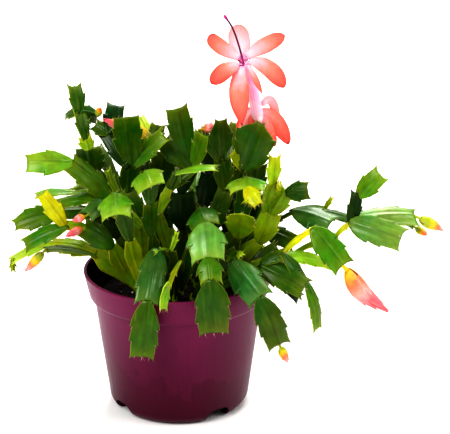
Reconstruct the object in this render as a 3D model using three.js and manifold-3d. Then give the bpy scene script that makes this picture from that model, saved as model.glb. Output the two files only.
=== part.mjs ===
// Potted christmas cactus, millimetres, +Z up, pot standing on z = 0, show side facing -Y.
// The plant is chains of flat toothed joints, each grown out of the tip of the one before it.
import * as THREE from 'three';
import { mergeVertices } from 'three/addons/utils/BufferGeometryUtils.js';
import Module from 'manifold-3d';

const wasm = await Module();
wasm.setup();

// Pot: a moulded nursery pot, 13 cm across the lip.
const pot = {
  lipRadius: 65, height: 98.2, collarDrop: 18, collarFootRadius: 61.4, bodyTopRadius: 58,
  footRadius: 48.6, footRound: 9, wall: 1.7, edge: 0.4, ledge: 0.8, ledgeRise: 1.2, sides: 40,
  channelInner: 27, channelOuter: 35, channelRise: 3, channelSlope: 1,
  drainHoles: 6, drainRadius: 3, drainSides: 10,
  slotCount: 4, slotWidth: 19, slotHeight: 9.6, slotDepth: 14, slotTurn: 36, slotSides: 8,
};

// The potting mix: a low mound of crumbs. Its rings are shares of its radius.
const soil = {
  top: 77.5, mound: 5, crumb: 0.9, sides: 20, rings: [1, 0.8, 0.55, 0.28], floorCut: 3,
  wave: [[0.61, 0.23], [-0.19, 0.57]],
};
const clearance = 0.3;         // gap between pieces that touch

// The buried end of a stem, in a plain hole that is drawn on up past the crumbs.
const foot = { radius: 2.2, depth: 14, stand: 1.5, taper: 0.8, holeSides: 6, holeAbove: 7.4 };

// Blades of the joints. Lengths are in millimetres; shoulder, tooth, widest, notch and apex are
// shares of a joint's length or width, and widest is where along it the teeth reach furthest.
const blade = {
  neck: 1.9, neckMost: 0.6, midrib: 2.0, margin: 0.85, shoulder: [0.24, 0.26, 0.7],
  tooth: 0.2, sweep: 0.05, cut: 0.015, notch: 0.85, widest: 0.62, taper: 1.7, hornRise: 2.4, apex: 0.8,
  bow: 0.07, fold: 0.3, foldBias: 0.35, stagger: 0.05, skyLean: 0.25, twoTeethFrom: 33,
  lead: 0.8, sink: 2.6, forkOut: 0.2, forkBack: 0.8, sameFlat: 0.6, sameWay: 0.2,
};

// The layout sheet: across and up are measured square to the show side's line of sight, which
// comes down at viewTilt; depth is how far back a point lies. The sheet is drawn for an eye at
// viewDistance, so a point nearer the eye than the sheet is drawn larger than it is.
const viewTilt = THREE.MathUtils.degToRad(19.4);
const viewDistance = 1200;
const sheetCentre = new THREE.Vector3(32.2, 12.1, 130.4);
const sheetRight = new THREE.Vector3(1, 0, 0);
const sheetUp = new THREE.Vector3(0, Math.sin(viewTilt), Math.cos(viewTilt));
const toEye = new THREE.Vector3(0, -Math.cos(viewTilt), Math.sin(viewTilt));

function place([across, up, depth]) {
  const eye = sheetCentre.clone().addScaledVector(toEye, viewDistance);
  const onSheet = sheetCentre.clone().addScaledVector(sheetRight, across).addScaledVector(sheetUp, up);
  const ray = onSheet.sub(eye);
  return eye.addScaledVector(ray, (depth - eye.y) / ray.y);
}

// Every joint: [joint it grows from, or -1 for the foot, across, up, depth, width, turn, apex]. The
// first three place its tip; the turn rolls its flat face from the eye towards the sky, in degrees;
// the apex is how wide its end is as a share of its width, where it isn't the usual one.
const stems = {
  stem_left_low: { root: [-30, 2], joints: [
    [-1, -89.5, -23.8, -5, 19, 36], [0, -119.8, -17.9, 4, 16, 44], [0, -123.4, -22.4, -22, 14, 75],
    [1, -147.4, -29.6, -4, 9, 45], [3, -146, -37, -4, 4, 20],
  ] },
  stem_left_middle: { root: [-27, -9], joints: [
    [-1, -77.8, -20, -22, 13, 20], [0, -97.1, -6.9, -26, 17, 20], [1, -110.9, -5.5, -30, 8, 20],
    [2, -125.6, 15.8, -36, 12, 15, 0.6], [2, -137.7, -19.3, -34, 14, 35],
  ] },
  stem_left_high: { root: [-22, -12], joints: [
    [-1, -58.5, -6.9, -14, 16, 5], [0, -73.7, 3.4, -12, 12, 15], [1, -80.6, 14.5, -12, 10, 30],
    [2, -105.8, 37.4, -19.5, 17.5, 30], [3, -136.4, 37.3, -23, 17.5, 20, 0.66], [2, -105.4, 16.5, 6, 12, 66],
    [5, -130.1, 14.8, 4, 13, 64], [2, -115, 9.6, -22, 14, 55], [2, -94.3, 1.4, -30, 12, 0],
  ] },
  stem_left_far: { root: [-22, 14], joints: [
    [-1, -73.7, -13.1, 12, 11, 20], [0, -87.5, 2.1, 10, 14, 20], [1, -113.6, 3.6, 4, 14, 40],
    [2, -144.6, -5.4, -2, 17.5, 28, 0.42],
  ] },
  stem_left_tower: { root: [-12, 12], joints: [
    [-1, -58.5, -5.5, 12, 12, 20], [0, -74.4, 12.4, 4, 14, 10], [1, -91.6, 29.6, 6, 16, 10],
    [2, -94.3, 47.5, -14, 20, 0], [3, -96.4, 54.4, -14, 10, 10], [4, -100.4, 73, -8, 10, 30],
    [5, -103.4, 90.2, -6, 11, 20], [5, -88.1, 69.4, 4, 12, 20], [5, -109.5, 70.2, 2, 8, 30],
    [1, -80.6, 32.4, -8, 6, 30], [1, -87.5, 48.9, 24, 10, 30],
  ] },
  stem_upper_left: { root: [-9, 5], joints: [
    [-1, -54.4, -10.3, 3, 11, 20], [0, -66.8, 17.2, 0, 14, 10], [1, -64.7, 36.5, -14, 15, 20],
    [2, -68.2, 68.9, -38, 20, 5], [2, -81.3, 57.8, -6, 13, 15], [4, -89.4, 63.4, -3, 12, 30],
    [4, -75.1, 77, 10, 14, 10], [2, -42.3, 56.9, -16, 14, 30], [2, -48.9, 53.7, 4, 14, 25],
    [8, -46.1, 63.4, 10, 12, 10], [8, -58.5, 68.9, 18, 8, 20],
  ] },
  stem_top_centre: { root: [4, 3], joints: [
    [-1, -46.1, 4.1, -12, 10, 30], [0, -38.6, 20.7, -10, 9, 40], [1, -22, 35.1, -8, 12, 20],
    [2, -41.3, 53.7, -2, 19, 5], [2, -33.3, 74.7, -14, 17.5, 5], [2, -15.8, 57.2, -20, 12, 20],
    [1, -32.4, 31.7, -30, 8, 30], [6, -6.2, 34.4, -34, 11, 65],
  ] },
  stem_centre_top: { root: [12, 6], joints: [
    [-1, -7.6, -7.6, 4, 12, 20], [0, 0.7, 18.6, 2, 14, 10], [1, -2.1, 41.3, 0, 14, 10],
    [2, -2.8, 66.6, -6, 17, 10, 0.4], [2, 7.6, 64.7, 14, 12, 30], [2, -17.9, 60, 6, 11, 35],
    [1, 12.4, 33.1, -20, 10, 20], [6, 24.4, 64.5, -31, 27, 5, 0.15], [6, 4.8, 44.1, -26, 6, 20],
  ] },
  stem_right_olive: { root: [26, 4], joints: [
    [-1, 24.1, -17.2, -4, 15, 15], [0, 32, 2.8, -6, 17, 8], [1, 42, 19.3, -8, 15, 12],
    [2, 57.2, 18.4, -4, 14, 8], [1, 32.4, 23.4, -21, 9.6, 26], [4, 34.4, 41.3, -20, 10, 20],
    [2, 36.4, 22, -27, 7, 10],
  ] },
  stem_right_upper: { root: [34, 10], joints: [
    [-1, 27.5, -7.6, 6, 11, 20], [0, 47.5, 3.8, 0, 5, 60], [1, 73, -4.1, -20, 19, 35],
    [1, 86.1, -0.7, 0, 15, 60], [1, 69.1, 6, 17.6, 9.6, 71], [4, 73.4, 13.2, 17.4, 3.4, 14],
    [0, 47.5, -17.2, 0, 15, 20],
  ] },
  stem_right_long: { root: [30, -10], joints: [
    [-1, 18.6, -31, -14, 11, 20], [0, 44.8, -26.9, -16, 10, 40], [1, 76.4, -13.1, -14, 7, 60],
    [2, 87.5, -2.8, -12, 6, 60], [3, 121.2, -15, -24, 20, 10], [3, 91, 16.6, -6, 11, 25],
    [5, 107, 29.4, -8, 15, 15], [3, 131, 0.6, -2, 18, 38], [3, 110.9, 2.2, 14, 12, 50],
    [8, 129.5, -6.2, 12, 8, 60],
    [0, 36, -21, -10, 12, 10],
  ] },
  stem_right_lime: { root: [22, -18], joints: [
    [-1, 18.6, -36.5, -26, 8, 20], [0, 39.9, -25.5, -27, 6, 30], [1, 61.6, -8, -24, 7, 55],
    [2, 81.2, -33.7, -34, 19, 8], [1, 70.9, -32.4, -20, 13, 48],
  ] },
  stem_right_front: { root: [14, -24], joints: [
    [-1, 25.5, -31.7, -36, 10, 20], [0, 54.4, -48.9, -46, 18, 10], [0, 40.6, -24.8, -36, 9, 30],
    [2, 56.1, -46.1, -38, 12, 45], [3, 64, -76.8, -40, 12.5, 48], [0, 51, -55.8, -28, 10, 20],
  ] },
  stem_front_right: { root: [10, -20], joints: [
    [-1, 7.6, -22.7, -38, 11, 20], [0, 4.8, -31, -50, 10, 20], [1, 24.1, -55.8, -58, 22, 5],
    [2, 37.5, -88.1, -58, 19, 10], [0, 11, -26.9, -48, 6, 20],
  ] },
  stem_front_centre: { root: [2, -10], joints: [
    [-1, -17.2, -14.5, -16, 11, 20], [0, -14.5, 5.5, -22, 12, 10], [1, -13.8, -4.8, -50, 23, 0],
    [2, -11.7, -28.9, -66, 26, 0], [3, -9.6, -44.1, -76, 17, 0], [4, -7.6, -79.9, -77, 23, 0],
  ] },
  stem_front_left: { root: [-10, -24], joints: [
    [-1, -44.8, -22.7, -42, 13, 10], [0, -53.7, -58.5, -70, 19, 10], [1, -57.2, -96.4, -73, 19, 5],
    [-1, -37.2, -22.7, -26, 13, 0], [3, -33.1, -10.3, -30, 4, 20], [3, -48.2, -24.1, -46, 4, 20],
  ] },
  stem_front_thin: { root: [-2, -22], joints: [
    [-1, -29.6, -31, -46, 6, 20], [0, -38.6, -47.5, -67, 4, 30], [1, -42.7, -63.4, -69, 10, 55],
  ] },
  stem_forward_left: { root: [-8, -13], joints: [
    [-1, -50.3, -13.1, -20, 10, 20], [0, -51.6, 9, -26, 12, 20], [1, -52.3, 31, -32, 12, 10],
    [2, -51, 20.7, -52, 23, 0],
  ] },
  stem_forward_low: { root: [-21, -20], joints: [
    [-1, -65.4, -15.8, -28, 13, 15], [0, -73.7, 16.5, -32, 12, 10], [1, -75.1, 1.4, -60, 23, 0],
  ] },
  stem_forward_right: { root: [16, 0], joints: [
    [-1, 10.3, -6.2, -4, 11, 20], [0, 17.2, 26.2, -30, 13, 10], [1, 15.1, 19.3, -44, 27, 0],
    [2, 22.7, 8.4, -54, 11.5, 0, 0.5], [2, 15.1, 9, -44, 7, 0],
  ] },
  stem_forward_centre: { root: [21, -8], joints: [
    [-1, 9, -14.5, -22, 10, 20], [0, 11.7, 2.1, -62, 20, 0],
  ] },
  stem_behind_left: { root: [-19, 30], joints: [
    [-1, -50, -8, 35, 11, 20], [0, -42.8, 14.5, 27.6, 15, 5], [1, -42, 45, 24, 20, 8],
    [1, -57, 36, 30, 16, 10],
  ] },
  stem_behind_middle: { root: [-4, 13], joints: [
    [-1, -29, -8, 12, 12, 20], [0, -30, 17, 12, 20, 5], [1, -24, 44, 16, 15, 10], [0, -14, 8, 12, 15, 10],
    [3, -10, 30, 14, 16, 5], [4, -11, 48, 16, 13, 10],
  ] },
  stem_behind_centre: { root: [9, 14], joints: [
    [-1, 1, -9, 9, 9, 20], [0, 5, 14, 10, 14, 5], [1, 7, 38, 12, 13, 10],
  ] },
  stem_behind_right: { root: [27, 18], joints: [
    [-1, 22, -9, 16, 12, 20], [0, 19, 14, 16, 17, 5], [1, 22, 36, 12, 16, 10], [0, 32, 14, 20, 12, 15],
  ] },
};
const buds = {
  bud_left_low: { stem: 'stem_left_low', joint: 2, tip: [-137.3, -37.2, -20], width: 6 },
  bud_left_upper: { stem: 'stem_left_high', joint: 8, tip: [-104.6, -2.6, -38], width: 4.8 },
  bud_left_lower: { stem: 'stem_left_middle', joint: 1, tip: [-109.3, -13.2, -47], width: 4.8 },
  bud_tower: { stem: 'stem_left_tower', joint: 7, tip: [-86, 75, -12], width: 4.1 },
  bud_behind: { stem: 'stem_upper_left', joint: 8, tip: [-82.6, 66.8, -27], width: 9.6 },
  bud_top: { stem: 'stem_centre_top', joint: 5, tip: [-5.5, 62.4, 2], width: 6 },
  bud_right_long: { stem: 'stem_right_long', joint: 7, tip: [150.1, -9, -4], width: 6.9 },
  bud_right_small: { stem: 'stem_right_long', joint: 9, tip: [139.1, -12.4, 0], width: 4.8 },
  bud_large: {
    stem: 'stem_right_lime', joint: 3, tip: [112.2, -64, -40], width: 11.7, bow: [-2.8, 0, -2.3],
  },
  bud_hanging: { stem: 'stem_front_right', joint: 3, tip: [43, -99.8, -75], width: 5.2 },
};

// How far past the tip of its joint a bud's base is. A bud may bow to one side, in millimetres.
const budStand = 3.3;

// The flower stands on the tip of one joint: a tube with a skirt of petals low down and a star of
// petals at its mouth. Each petal is [base, bend, tip, width, point], its places on the layout sheet
// and its end from blunt, 0, to pointed, 1.
const flower = {
  tube: [[24.1, 65.5, -28, 1.4], [22.3, 70.9, -20, 3.9], [18, 92, -19, 4], [12.8, 105.4, -24, 4.2]],
  star: [
    [[13, 107.5, -22], [9, 120, -14], [9.3, 132.6, -8], 14.5, 0.1],
    [[10.3, 109.6, -24], [-4, 117, -22], [-11.2, 125, -26], 10.2, 0.1],
    [[9.6, 105.4, -27], [0, 104, -38], [-9, 91.5, -40], 11.2, 0.1],
    [[11.2, 104.5, -27], [8, 88, -42], [11.8, 63.2, -36], 13.6, 1],
    [[15.5, 105, -27], [20.5, 97, -36], [25.6, 84.6, -38], 4.4, 1],
    [[16.2, 107.8, -25], [32, 107.2, -32], [40.6, 89, -38], 11.6, 0.2],
    [[14.1, 110.4, -23], [27, 119.6, -20], [41.4, 124.8, -24], 11, 0.4],
    [[12.8, 108.5, -20], [15.8, 117.8, -4], [18.6, 110.9, 6], 10.3, 0.3],
  ],
  skirt: [
    [[20, 75.1, -17], [10.3, 72.3, -12], [8.3, 54.4, -6], 5.5, 0.5],
    [[20, 73.5, -18], [12, 68.2, -18], [12, 50, -14], 8.3, 0.3],
    [[22.7, 72.5, -17], [34.5, 94, -10], [37.5, 58, -8], 6.5, 0.1],
    [[22.4, 71.5, -16], [35, 73, -13], [43.4, 50, -19], 12, 0.4],
    [[21.3, 73, -15], [25.5, 75.1, 4], [22.7, 57.2, 10], 6.9, 0.5],
    [[22, 71.5, -16], [29.4, 64, -18], [34.3, 48.6, -23], 8.6, 0.5],
    [[21, 72, -18], [18.6, 69, -20], [18.6, 57, -19], 7, 0.3],
  ],
  petalThickness: 0.8, petalLift: 0.12, looksOut: [0, -0.85, 0.5],
  style: [[13.1, 105, -24.5], [9, 119.8, -30], [4.8, 130.8, -33], [-0.7, 139.1, -36]],
  stamens: [[9, 108.1, -32], [10, 104, -33]],
  styleRadius: 0.75, stigmaRadius: 1.25, stamenRadius: 0.45, antherRadius: 0.6,
  tubeSides: 8, threadSides: 5,
};

// Stems that arch over the back, where the layout sheet shows nothing: a fan of chains. Rises,
// turns and swings are in degrees; the last joint is a fork that swings away to one side.
const back = {
  count: 6, firstTurn: 30, lastTurn: 150, rootRadius: 26, rootSpread: 5, grownFrom: [-1, 0, 1, 1],
  rise: [74, 50, 8, 30], reach: [33, 29, 27, 24], width: [11, 15, 17, 15], turn: 12,
  swing: 16, riseSwing: 18, forkSwing: 55, swingSeeds: 7, riseSeeds: 5,
};

function solidOf(positions, triangles) {
  const mesh = new wasm.Mesh({
    numProp: 3, vertProperties: new Float32Array(positions), triVerts: new Uint32Array(triangles),
  });
  return new wasm.Manifold(mesh);
}

function solidFrom(geometry) {
  geometry.deleteAttribute('normal');
  geometry.deleteAttribute('uv');
  const merged = mergeVertices(geometry, 1e-4);
  return solidOf(merged.attributes.position.array, merged.index.array);
}

function geometryFrom(solid) {
  const mesh = solid.getMesh();
  const geometry = new THREE.BufferGeometry();
  geometry.setAttribute('position', new THREE.BufferAttribute(mesh.vertProperties, 3));
  geometry.setIndex(new THREE.BufferAttribute(mesh.triVerts, 1));
  return geometry;
}

// A closed blade from two grids of points, the upper face and the lower, split alike.
function bladeSolid(upper, lower) {
  const rows = upper.length;
  const columns = upper[0].length;
  const positions = [...upper.flat(), ...lower.flat()].flatMap((point) => point.toArray());
  const triangles = [];
  const top = (row, column) => row * columns + column;
  const under = (row, column) => (rows + row) * columns + column;
  const quad = (a, b, c, d) => triangles.push(a, b, c, a, c, d);
  for (let row = 0; row + 1 < rows; row += 1) {
    for (let column = 0; column + 1 < columns; column += 1) {
      const next = column + 1;
      quad(top(row, column), top(row, next), top(row + 1, next), top(row + 1, column));
      triangles.push(under(row, column), under(row + 1, next), under(row, next));
      triangles.push(under(row, column), under(row + 1, column), under(row + 1, next));
    }
    const last = columns - 1;
    quad(top(row, 0), top(row + 1, 0), under(row + 1, 0), under(row, 0));
    quad(top(row, last), under(row, last), under(row + 1, last), top(row + 1, last));
  }
  for (let column = 0; column + 1 < columns; column += 1) {
    const next = column + 1;
    const end = rows - 1;
    quad(top(0, column), under(0, column), under(0, next), top(0, next));
    quad(top(end, column), top(end, next), under(end, next), under(end, column));
  }
  return solidOf(positions, triangles);
}

// A closed round body from rings of equal count, each [centre, radius], standing across the path.
function ringSolid(rings, sides) {
  const positions = [];
  const triangles = [];
  rings.forEach(([centre, radius], index) => {
    const before = rings[Math.max(index - 1, 0)][0];
    const after = rings[Math.min(index + 1, rings.length - 1)][0];
    const axis = after.clone().sub(before).normalize();
    const across = new THREE.Vector3(1, 0, 0).addScaledVector(axis, -axis.x).normalize();
    const over = axis.clone().cross(across);
    for (let side = 0; side < sides; side += 1) {
      const angle = (2 * Math.PI * side) / sides;
      const point = centre.clone().addScaledVector(across, radius * Math.cos(angle));
      positions.push(...point.addScaledVector(over, radius * Math.sin(angle)).toArray());
      if (index > 0) {
        const low = (index - 1) * sides;
        const next = (side + 1) % sides;
        triangles.push(low + side, low + next, low + sides + next);
        triangles.push(low + side, low + sides + next, low + sides + side);
      }
    }
  });
  const last = (rings.length - 1) * sides;
  for (let side = 1; side + 1 < sides; side += 1) {
    triangles.push(0, side + 1, side);
    triangles.push(last, last + side, last + side + 1);
  }
  return solidOf(positions, triangles);
}

// The same draw, from nothing up to one, every time for the same seed.
const drawing = { step: 12.9898, start: 4.1414, spread: 43758.5453, stemStep: 31 };
function draw(seed) {
  const value = Math.sin(seed * drawing.step + drawing.start) * drawing.spread;
  return value - Math.floor(value);
}

// A join or cut can leave a loose scrap, which is dropped.
function largest(solid) {
  return solid.decompose().reduce((most, part) => (part.volume() > most.volume() ? part : most));
}

// Points that lie this near to flat, in millimetres, are left out of a joined piece.
const flatEnough = 0.3;
function joined(solids) {
  return largest(solids.reduce((whole, solid) => whole.add(solid)).simplify(flatEnough));
}

// Rows of a joint: [share along at the middle, share along at the edge, half width as a share].
// Each tooth is two rows: its point, and the cut just past it.
function jointRows(length, halfWidth, apex) {
  const neck = Math.min(blade.neck / halfWidth, blade.neckMost);
  const teeth = length < blade.twoTeethFrom ? 1 : 2;
  const rows = [[0, 0, neck], blade.shoulder];
  for (let tooth = 1; tooth <= teeth; tooth += 1) {
    const tip = blade.tooth + ((1 - blade.tooth) * tooth) / (teeth + 1);
    const reach = 1 - blade.taper * (tip - blade.widest) ** 2;
    rows.push([tip - blade.sweep, tip, reach], [tip, tip + blade.cut, reach * blade.notch]);
  }
  rows.push([1, 1 + blade.hornRise / length, apex]);
  return rows;
}

// The lowest joint of a stem is old and narrow, and has lost its teeth.
const stalkRows = [[0, 0, 0.3], [0.3, 0.3, 0.62], [0.75, 0.75, 1], [1, 1.03, 0.55]];

// The rows of points of one joint, from `lead` past its base (sunk when it is less than nothing).
function limb(base, tip, joint, seed, lead, towards) {
  const [from, , , , width, turn, apex = blade.apex] = joint;
  const halfWidth = width / 2;
  const along = tip.clone().sub(base);
  const axis = along.clone().normalize();
  const facing = towards.clone().addScaledVector(axis, -towards.dot(axis)).normalize();
  const rolled = axis.clone().cross(facing);
  if (rolled.z + blade.skyLean * rolled.x < 0) {
    rolled.negate();
  }
  const roll = THREE.MathUtils.degToRad(turn);
  const normal = facing.multiplyScalar(Math.cos(roll)).addScaledVector(rolled, Math.sin(roll));
  const across = axis.clone().cross(normal);
  const start = base.clone().addScaledVector(axis, lead);
  const reach = along.length() - lead;
  const arch = blade.bow * reach * (normal.z < 0 ? -1 : 1);
  const fold = (draw(seed) - blade.foldBias) * blade.fold;
  const stagger = (draw(seed + 0.5) - 0.5) * blade.stagger;
  const shape = from < 0 ? stalkRows : jointRows(reach, halfWidth, apex);
  const rows = shape.map(([middle, edge, out], row) => [-1, 0, 1].map((side) => {
    const share = side === 0 ? middle : edge + (row > 1 ? side * stagger : 0);
    const lift = 4 * arch * share * (1 - share) - fold * halfWidth * out * Math.abs(side);
    const point = start.clone().addScaledVector(axis, share * reach);
    return point.addScaledVector(across, side * out * halfWidth).addScaledVector(normal, lift);
  }));
  const half = [blade.margin / 2, blade.midrib / 2, blade.margin / 2];
  const shifted = (way) => rows.map((row) => row.map(
    (point, column) => point.clone().addScaledVector(normal, way * half[column])));
  return { upper: shifted(1), lower: shifted(-1), axis, across };
}

function soilHeight(x, y) {
  const share = Math.min(Math.hypot(x, y) / pot.bodyTopRadius, 1);
  return soil.top + soil.mound * (1 - share * share);
}

function footOf(stem) {
  const [x, y] = stem.root;
  return new THREE.Vector3(x, y, soilHeight(x, y) + foot.stand);
}

function tipsOf(stem) {
  return stem.tips ?? stem.joints.map(([, across, up, depth]) => place([across, up, depth]));
}

// A joint that carries on nearly straight is lofted on from the one before. A fork starts beside
// it, on the edge of the tip towards its own side, and is joined on.
function stemSolid(stem, number) {
  const base = footOf(stem);
  const tips = tipsOf(stem);
  const limbOf = (index, lead, start) => {
    const joint = stem.joints[index];
    const grownAt = start ?? (joint[0] < 0 ? base : tips[joint[0]]);
    const seed = number * drawing.stemStep + index;
    return limb(grownAt, tips[index], joint, seed, lead, stem.facing ?? toEye);
  };
  const trial = stem.joints.map((_, index) => limbOf(index, 0));
  const next = new Map();
  stem.joints.forEach(([from], index) => {
    const straight = from >= 0 && trial[from].across.dot(trial[index].across) > blade.sameFlat
      && trial[from].axis.dot(trial[index].axis) > blade.sameWay;
    if (straight && !next.has(from)) {
      next.set(from, index);
    }
  });
  const carriedOn = new Set(next.values());
  const solids = [];
  stem.joints.forEach(([from], index) => {
    if (carriedOn.has(index)) {
      return;
    }
    let first;
    if (index === 0) {
      first = limbOf(index, blade.lead);
      first.upper.unshift(...footRows(base, first.across, 1));
      first.lower.unshift(...footRows(base, first.across, -1));
    } else if (from < 0) {
      first = limbOf(index, -blade.sink / 2);
    } else {
      const side = Math.sign(trial[from].across.dot(trial[index].axis)) || 1;
      const start = tips[from].clone();
      start.addScaledVector(trial[from].across, side * blade.forkOut * stem.joints[from][4]);
      start.addScaledVector(trial[from].axis, -blade.forkBack);
      first = limbOf(index, -blade.sink, start);
    }
    const { upper, lower } = first;
    for (let at = next.get(index); at !== undefined; at = next.get(at)) {
      const piece = limbOf(at, blade.lead);
      upper.push(...piece.upper);
      lower.push(...piece.lower);
    }
    solids.push(bladeSolid(upper, lower));
  });
  return joined(solids);
}

// The buried foot: three points on each half of a round, at its bottom end and at its top.
function footRows(base, flat, half) {
  const wide = flat.clone().setZ(0).normalize();
  const front = wide.clone().cross(new THREE.Vector3(0, 0, 1)).multiplyScalar(half);
  return [[foot.depth, foot.taper], [0, 1]].map(([down, share]) => [-60, 0, 60].map((degrees) => {
    const angle = THREE.MathUtils.degToRad(degrees);
    const point = base.clone().setZ(base.z - down);
    point.addScaledVector(wide, foot.radius * share * Math.sin(angle));
    return point.addScaledVector(front, foot.radius * share * Math.cos(angle));
  }));
}

const skyward = new THREE.Vector3(0, 0, 1);

function backStem(index) {
  const share = index / (back.count - 1);
  const turn = THREE.MathUtils.lerp(back.firstTurn, back.lastTurn, share);
  const outward = (swing) => {
    const angle = THREE.MathUtils.degToRad(turn + swing);
    return new THREE.Vector3(Math.cos(angle), Math.sin(angle), 0);
  };
  const radius = back.rootRadius + back.rootSpread * (index % 2 ? 1 : -1);
  const root = outward(0).multiplyScalar(radius);
  const stem = { root: [root.x, root.y], joints: [], tips: [], facing: outward(0).add(skyward) };
  let from = footOf(stem);
  const swung = (seed, most) => (draw(seed) - 0.5) * most;
  back.grownFrom.forEach((parent, step) => {
    from = parent < 0 ? from : stem.tips[parent];
    const aside = step === back.grownFrom.length - 1 ? back.forkSwing : 0;
    const swing = aside + swung(index * back.swingSeeds + step, back.swing);
    const degrees = back.rise[step] + swung(index * back.riseSeeds + step, back.riseSwing);
    const rise = THREE.MathUtils.degToRad(degrees);
    const along = outward(swing).multiplyScalar(Math.cos(rise)).addScaledVector(skyward, Math.sin(rise));
    stem.tips.push(from.clone().addScaledVector(along, back.reach[step]));
    stem.joints.push([parent, 0, 0, 0, back.width[step], back.turn]);
  });
  return stem;
}

// Share along a petal, its width there as a share of its widest, and how much of that a point takes.
const petalShape = [[0, 0.42, 0], [0.3, 0.84, 0], [0.6, 1, 0.05], [0.86, 0.86, 0.3], [1, 0.4, 0.34]];

// A petal's flat face is square to the way the flower looks out, however the petal bends.
function petalSolid([base, bend, tip, width, point]) {
  const path = new THREE.QuadraticBezierCurve3(place(base), place(bend), place(tip));
  const across = new THREE.Vector3(...flower.looksOut).cross(place(tip).sub(place(base))).normalize();
  const upper = [];
  const lower = [];
  petalShape.forEach(([share, full, taken]) => {
    const out = full - taken * point;
    const along = path.getTangent(share);
    const wide = across.clone().addScaledVector(along, -across.dot(along)).normalize();
    const normal = wide.clone().cross(along);
    const row = [-1, 0, 1].map((side) => {
      const lift = flower.petalLift * Math.abs(side) * out * width;
      const spot = path.getPoint(share).addScaledVector(wide, (side * out * width) / 2);
      return spot.addScaledVector(normal, lift);
    });
    const half = flower.petalThickness / 2;
    upper.push(row.map((spot) => spot.clone().addScaledVector(normal, half)));
    lower.push(row.map((spot) => spot.clone().addScaledVector(normal, -half)));
  });
  return bladeSolid(upper, lower);
}

function threadSolid(points, radius, tipRadius) {
  const path = new THREE.CatmullRomCurve3(points);
  const steps = points.length + 1;
  const rings = Array.from({ length: steps + 1 }, (_, step) => {
    return [path.getPoint(step / steps), step >= steps - 1 ? tipRadius : radius];
  });
  return ringSolid(rings, flower.threadSides);
}

// The style and its stamens, or the channel they stand in, which is wider by `extra` all round.
function styleSolid(extra) {
  const path = flower.style.map(place);
  const threads = flower.stamens.map((tip) => {
    return threadSolid([path[0], place(tip)], flower.stamenRadius + extra, flower.antherRadius + extra);
  });
  return joined([threadSolid(path, flower.styleRadius + extra, flower.stigmaRadius + extra), ...threads]);
}

function flowerSolid() {
  const rings = flower.tube.map(([across, up, depth, radius]) => [place([across, up, depth]), radius]);
  const petals = [...flower.star, ...flower.skirt].map(petalSolid);
  const whole = joined([ringSolid(rings, flower.tubeSides), ...petals]);
  return largest(whole.subtract(styleSolid(clearance)));
}

// Share along a bud, and its width there as a share of its widest.
const budShape = [[0, 0.35], [0.14, 0.78], [0.4, 1], [0.77, 0.6], [1, 0.06]];
const budSides = 7;

function budSolid({ stem, joint: index, tip, width, bow = [0, 0, 0] }) {
  const from = tipsOf(stems[stem])[index];
  const end = place(tip);
  const along = end.clone().sub(from).normalize();
  const base = from.clone().addScaledVector(along, budStand);
  const aside = new THREE.Vector3(...bow);
  const rings = budShape.map(([share, out]) => {
    const centre = base.clone().lerp(end, share).addScaledVector(aside, 4 * share * (1 - share));
    return [centre, (out * width) / 2];
  });
  return ringSolid(rings, budSides);
}

function latheGeometry(profile, sides) {
  const points = profile.map(([radius, height]) => new THREE.Vector2(radius, height));
  const geometry = new THREE.LatheGeometry(points, sides);
  geometry.rotateX(Math.PI / 2);
  return geometry;
}

// The wall outside from the underside up, over the rim, and down again inside.
function potProfile() {
  const p = pot;
  const collarFoot = p.height - p.collarDrop;
  const corner = (degrees, radius) => {
    const angle = THREE.MathUtils.degToRad(degrees);
    return [
      p.footRadius - p.footRound + radius * Math.sin(angle), p.footRound - radius * Math.cos(angle),
    ];
  };
  return [
    [0, 0], [p.channelInner - p.channelSlope, 0], [p.channelInner, p.channelRise],
    [p.channelOuter, p.channelRise], [p.channelOuter + p.channelSlope, 0],
    ...[0, 30, 55, 80].map((degrees) => corner(degrees, p.footRound)),
    [p.bodyTopRadius, collarFoot - p.ledgeRise],
    [p.collarFootRadius - p.ledge, collarFoot], [p.collarFootRadius, collarFoot + p.ledgeRise],
    [p.lipRadius, p.height - p.edge], [p.lipRadius - p.edge, p.height],
    [p.lipRadius - p.wall - p.edge, p.height],
    [p.collarFootRadius - p.wall, collarFoot + p.wall + p.edge],
    [p.bodyTopRadius - p.wall, collarFoot + p.wall - p.edge],
    ...[85, 50, 10].map((degrees) => corner(degrees, p.footRound - p.wall)),
    [p.channelOuter + p.channelSlope + p.edge, p.wall],
    [p.channelOuter - p.edge, p.channelRise + p.wall],
    [p.channelInner + p.edge, p.channelRise + p.wall],
    [p.channelInner - p.channelSlope - p.edge, p.wall], [0, p.wall],
  ];
}

function potSolid() {
  let solid = solidFrom(latheGeometry(potProfile(), pot.sides));
  const through = pot.channelRise + pot.wall;
  for (let hole = 0; hole < pot.drainHoles; hole += 1) {
    const angle = (2 * Math.PI * hole) / pot.drainHoles;
    const radius = (pot.channelInner + pot.channelOuter) / 2;
    const bore = new THREE.CylinderGeometry(pot.drainRadius, pot.drainRadius, 2 * through, pot.drainSides);
    bore.rotateX(Math.PI / 2);
    bore.translate(radius * Math.cos(angle), radius * Math.sin(angle), through);
    solid = solid.subtract(solidFrom(bore));
  }
  for (let slot = 0; slot < pot.slotCount; slot += 1) {
    const arch = new THREE.CylinderGeometry(1, 1, 2 * pot.slotDepth, pot.slotSides);
    arch.rotateY(Math.PI / pot.slotSides);
    arch.rotateZ(Math.PI / 2);
    arch.scale(1, pot.slotWidth / 2, pot.slotHeight);
    arch.translate(pot.footRadius, 0, 0);
    arch.rotateZ(THREE.MathUtils.degToRad(pot.slotTurn - 90 + (360 * slot) / pot.slotCount));
    solid = solid.subtract(solidFrom(arch));
  }
  return solid;
}

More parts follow.
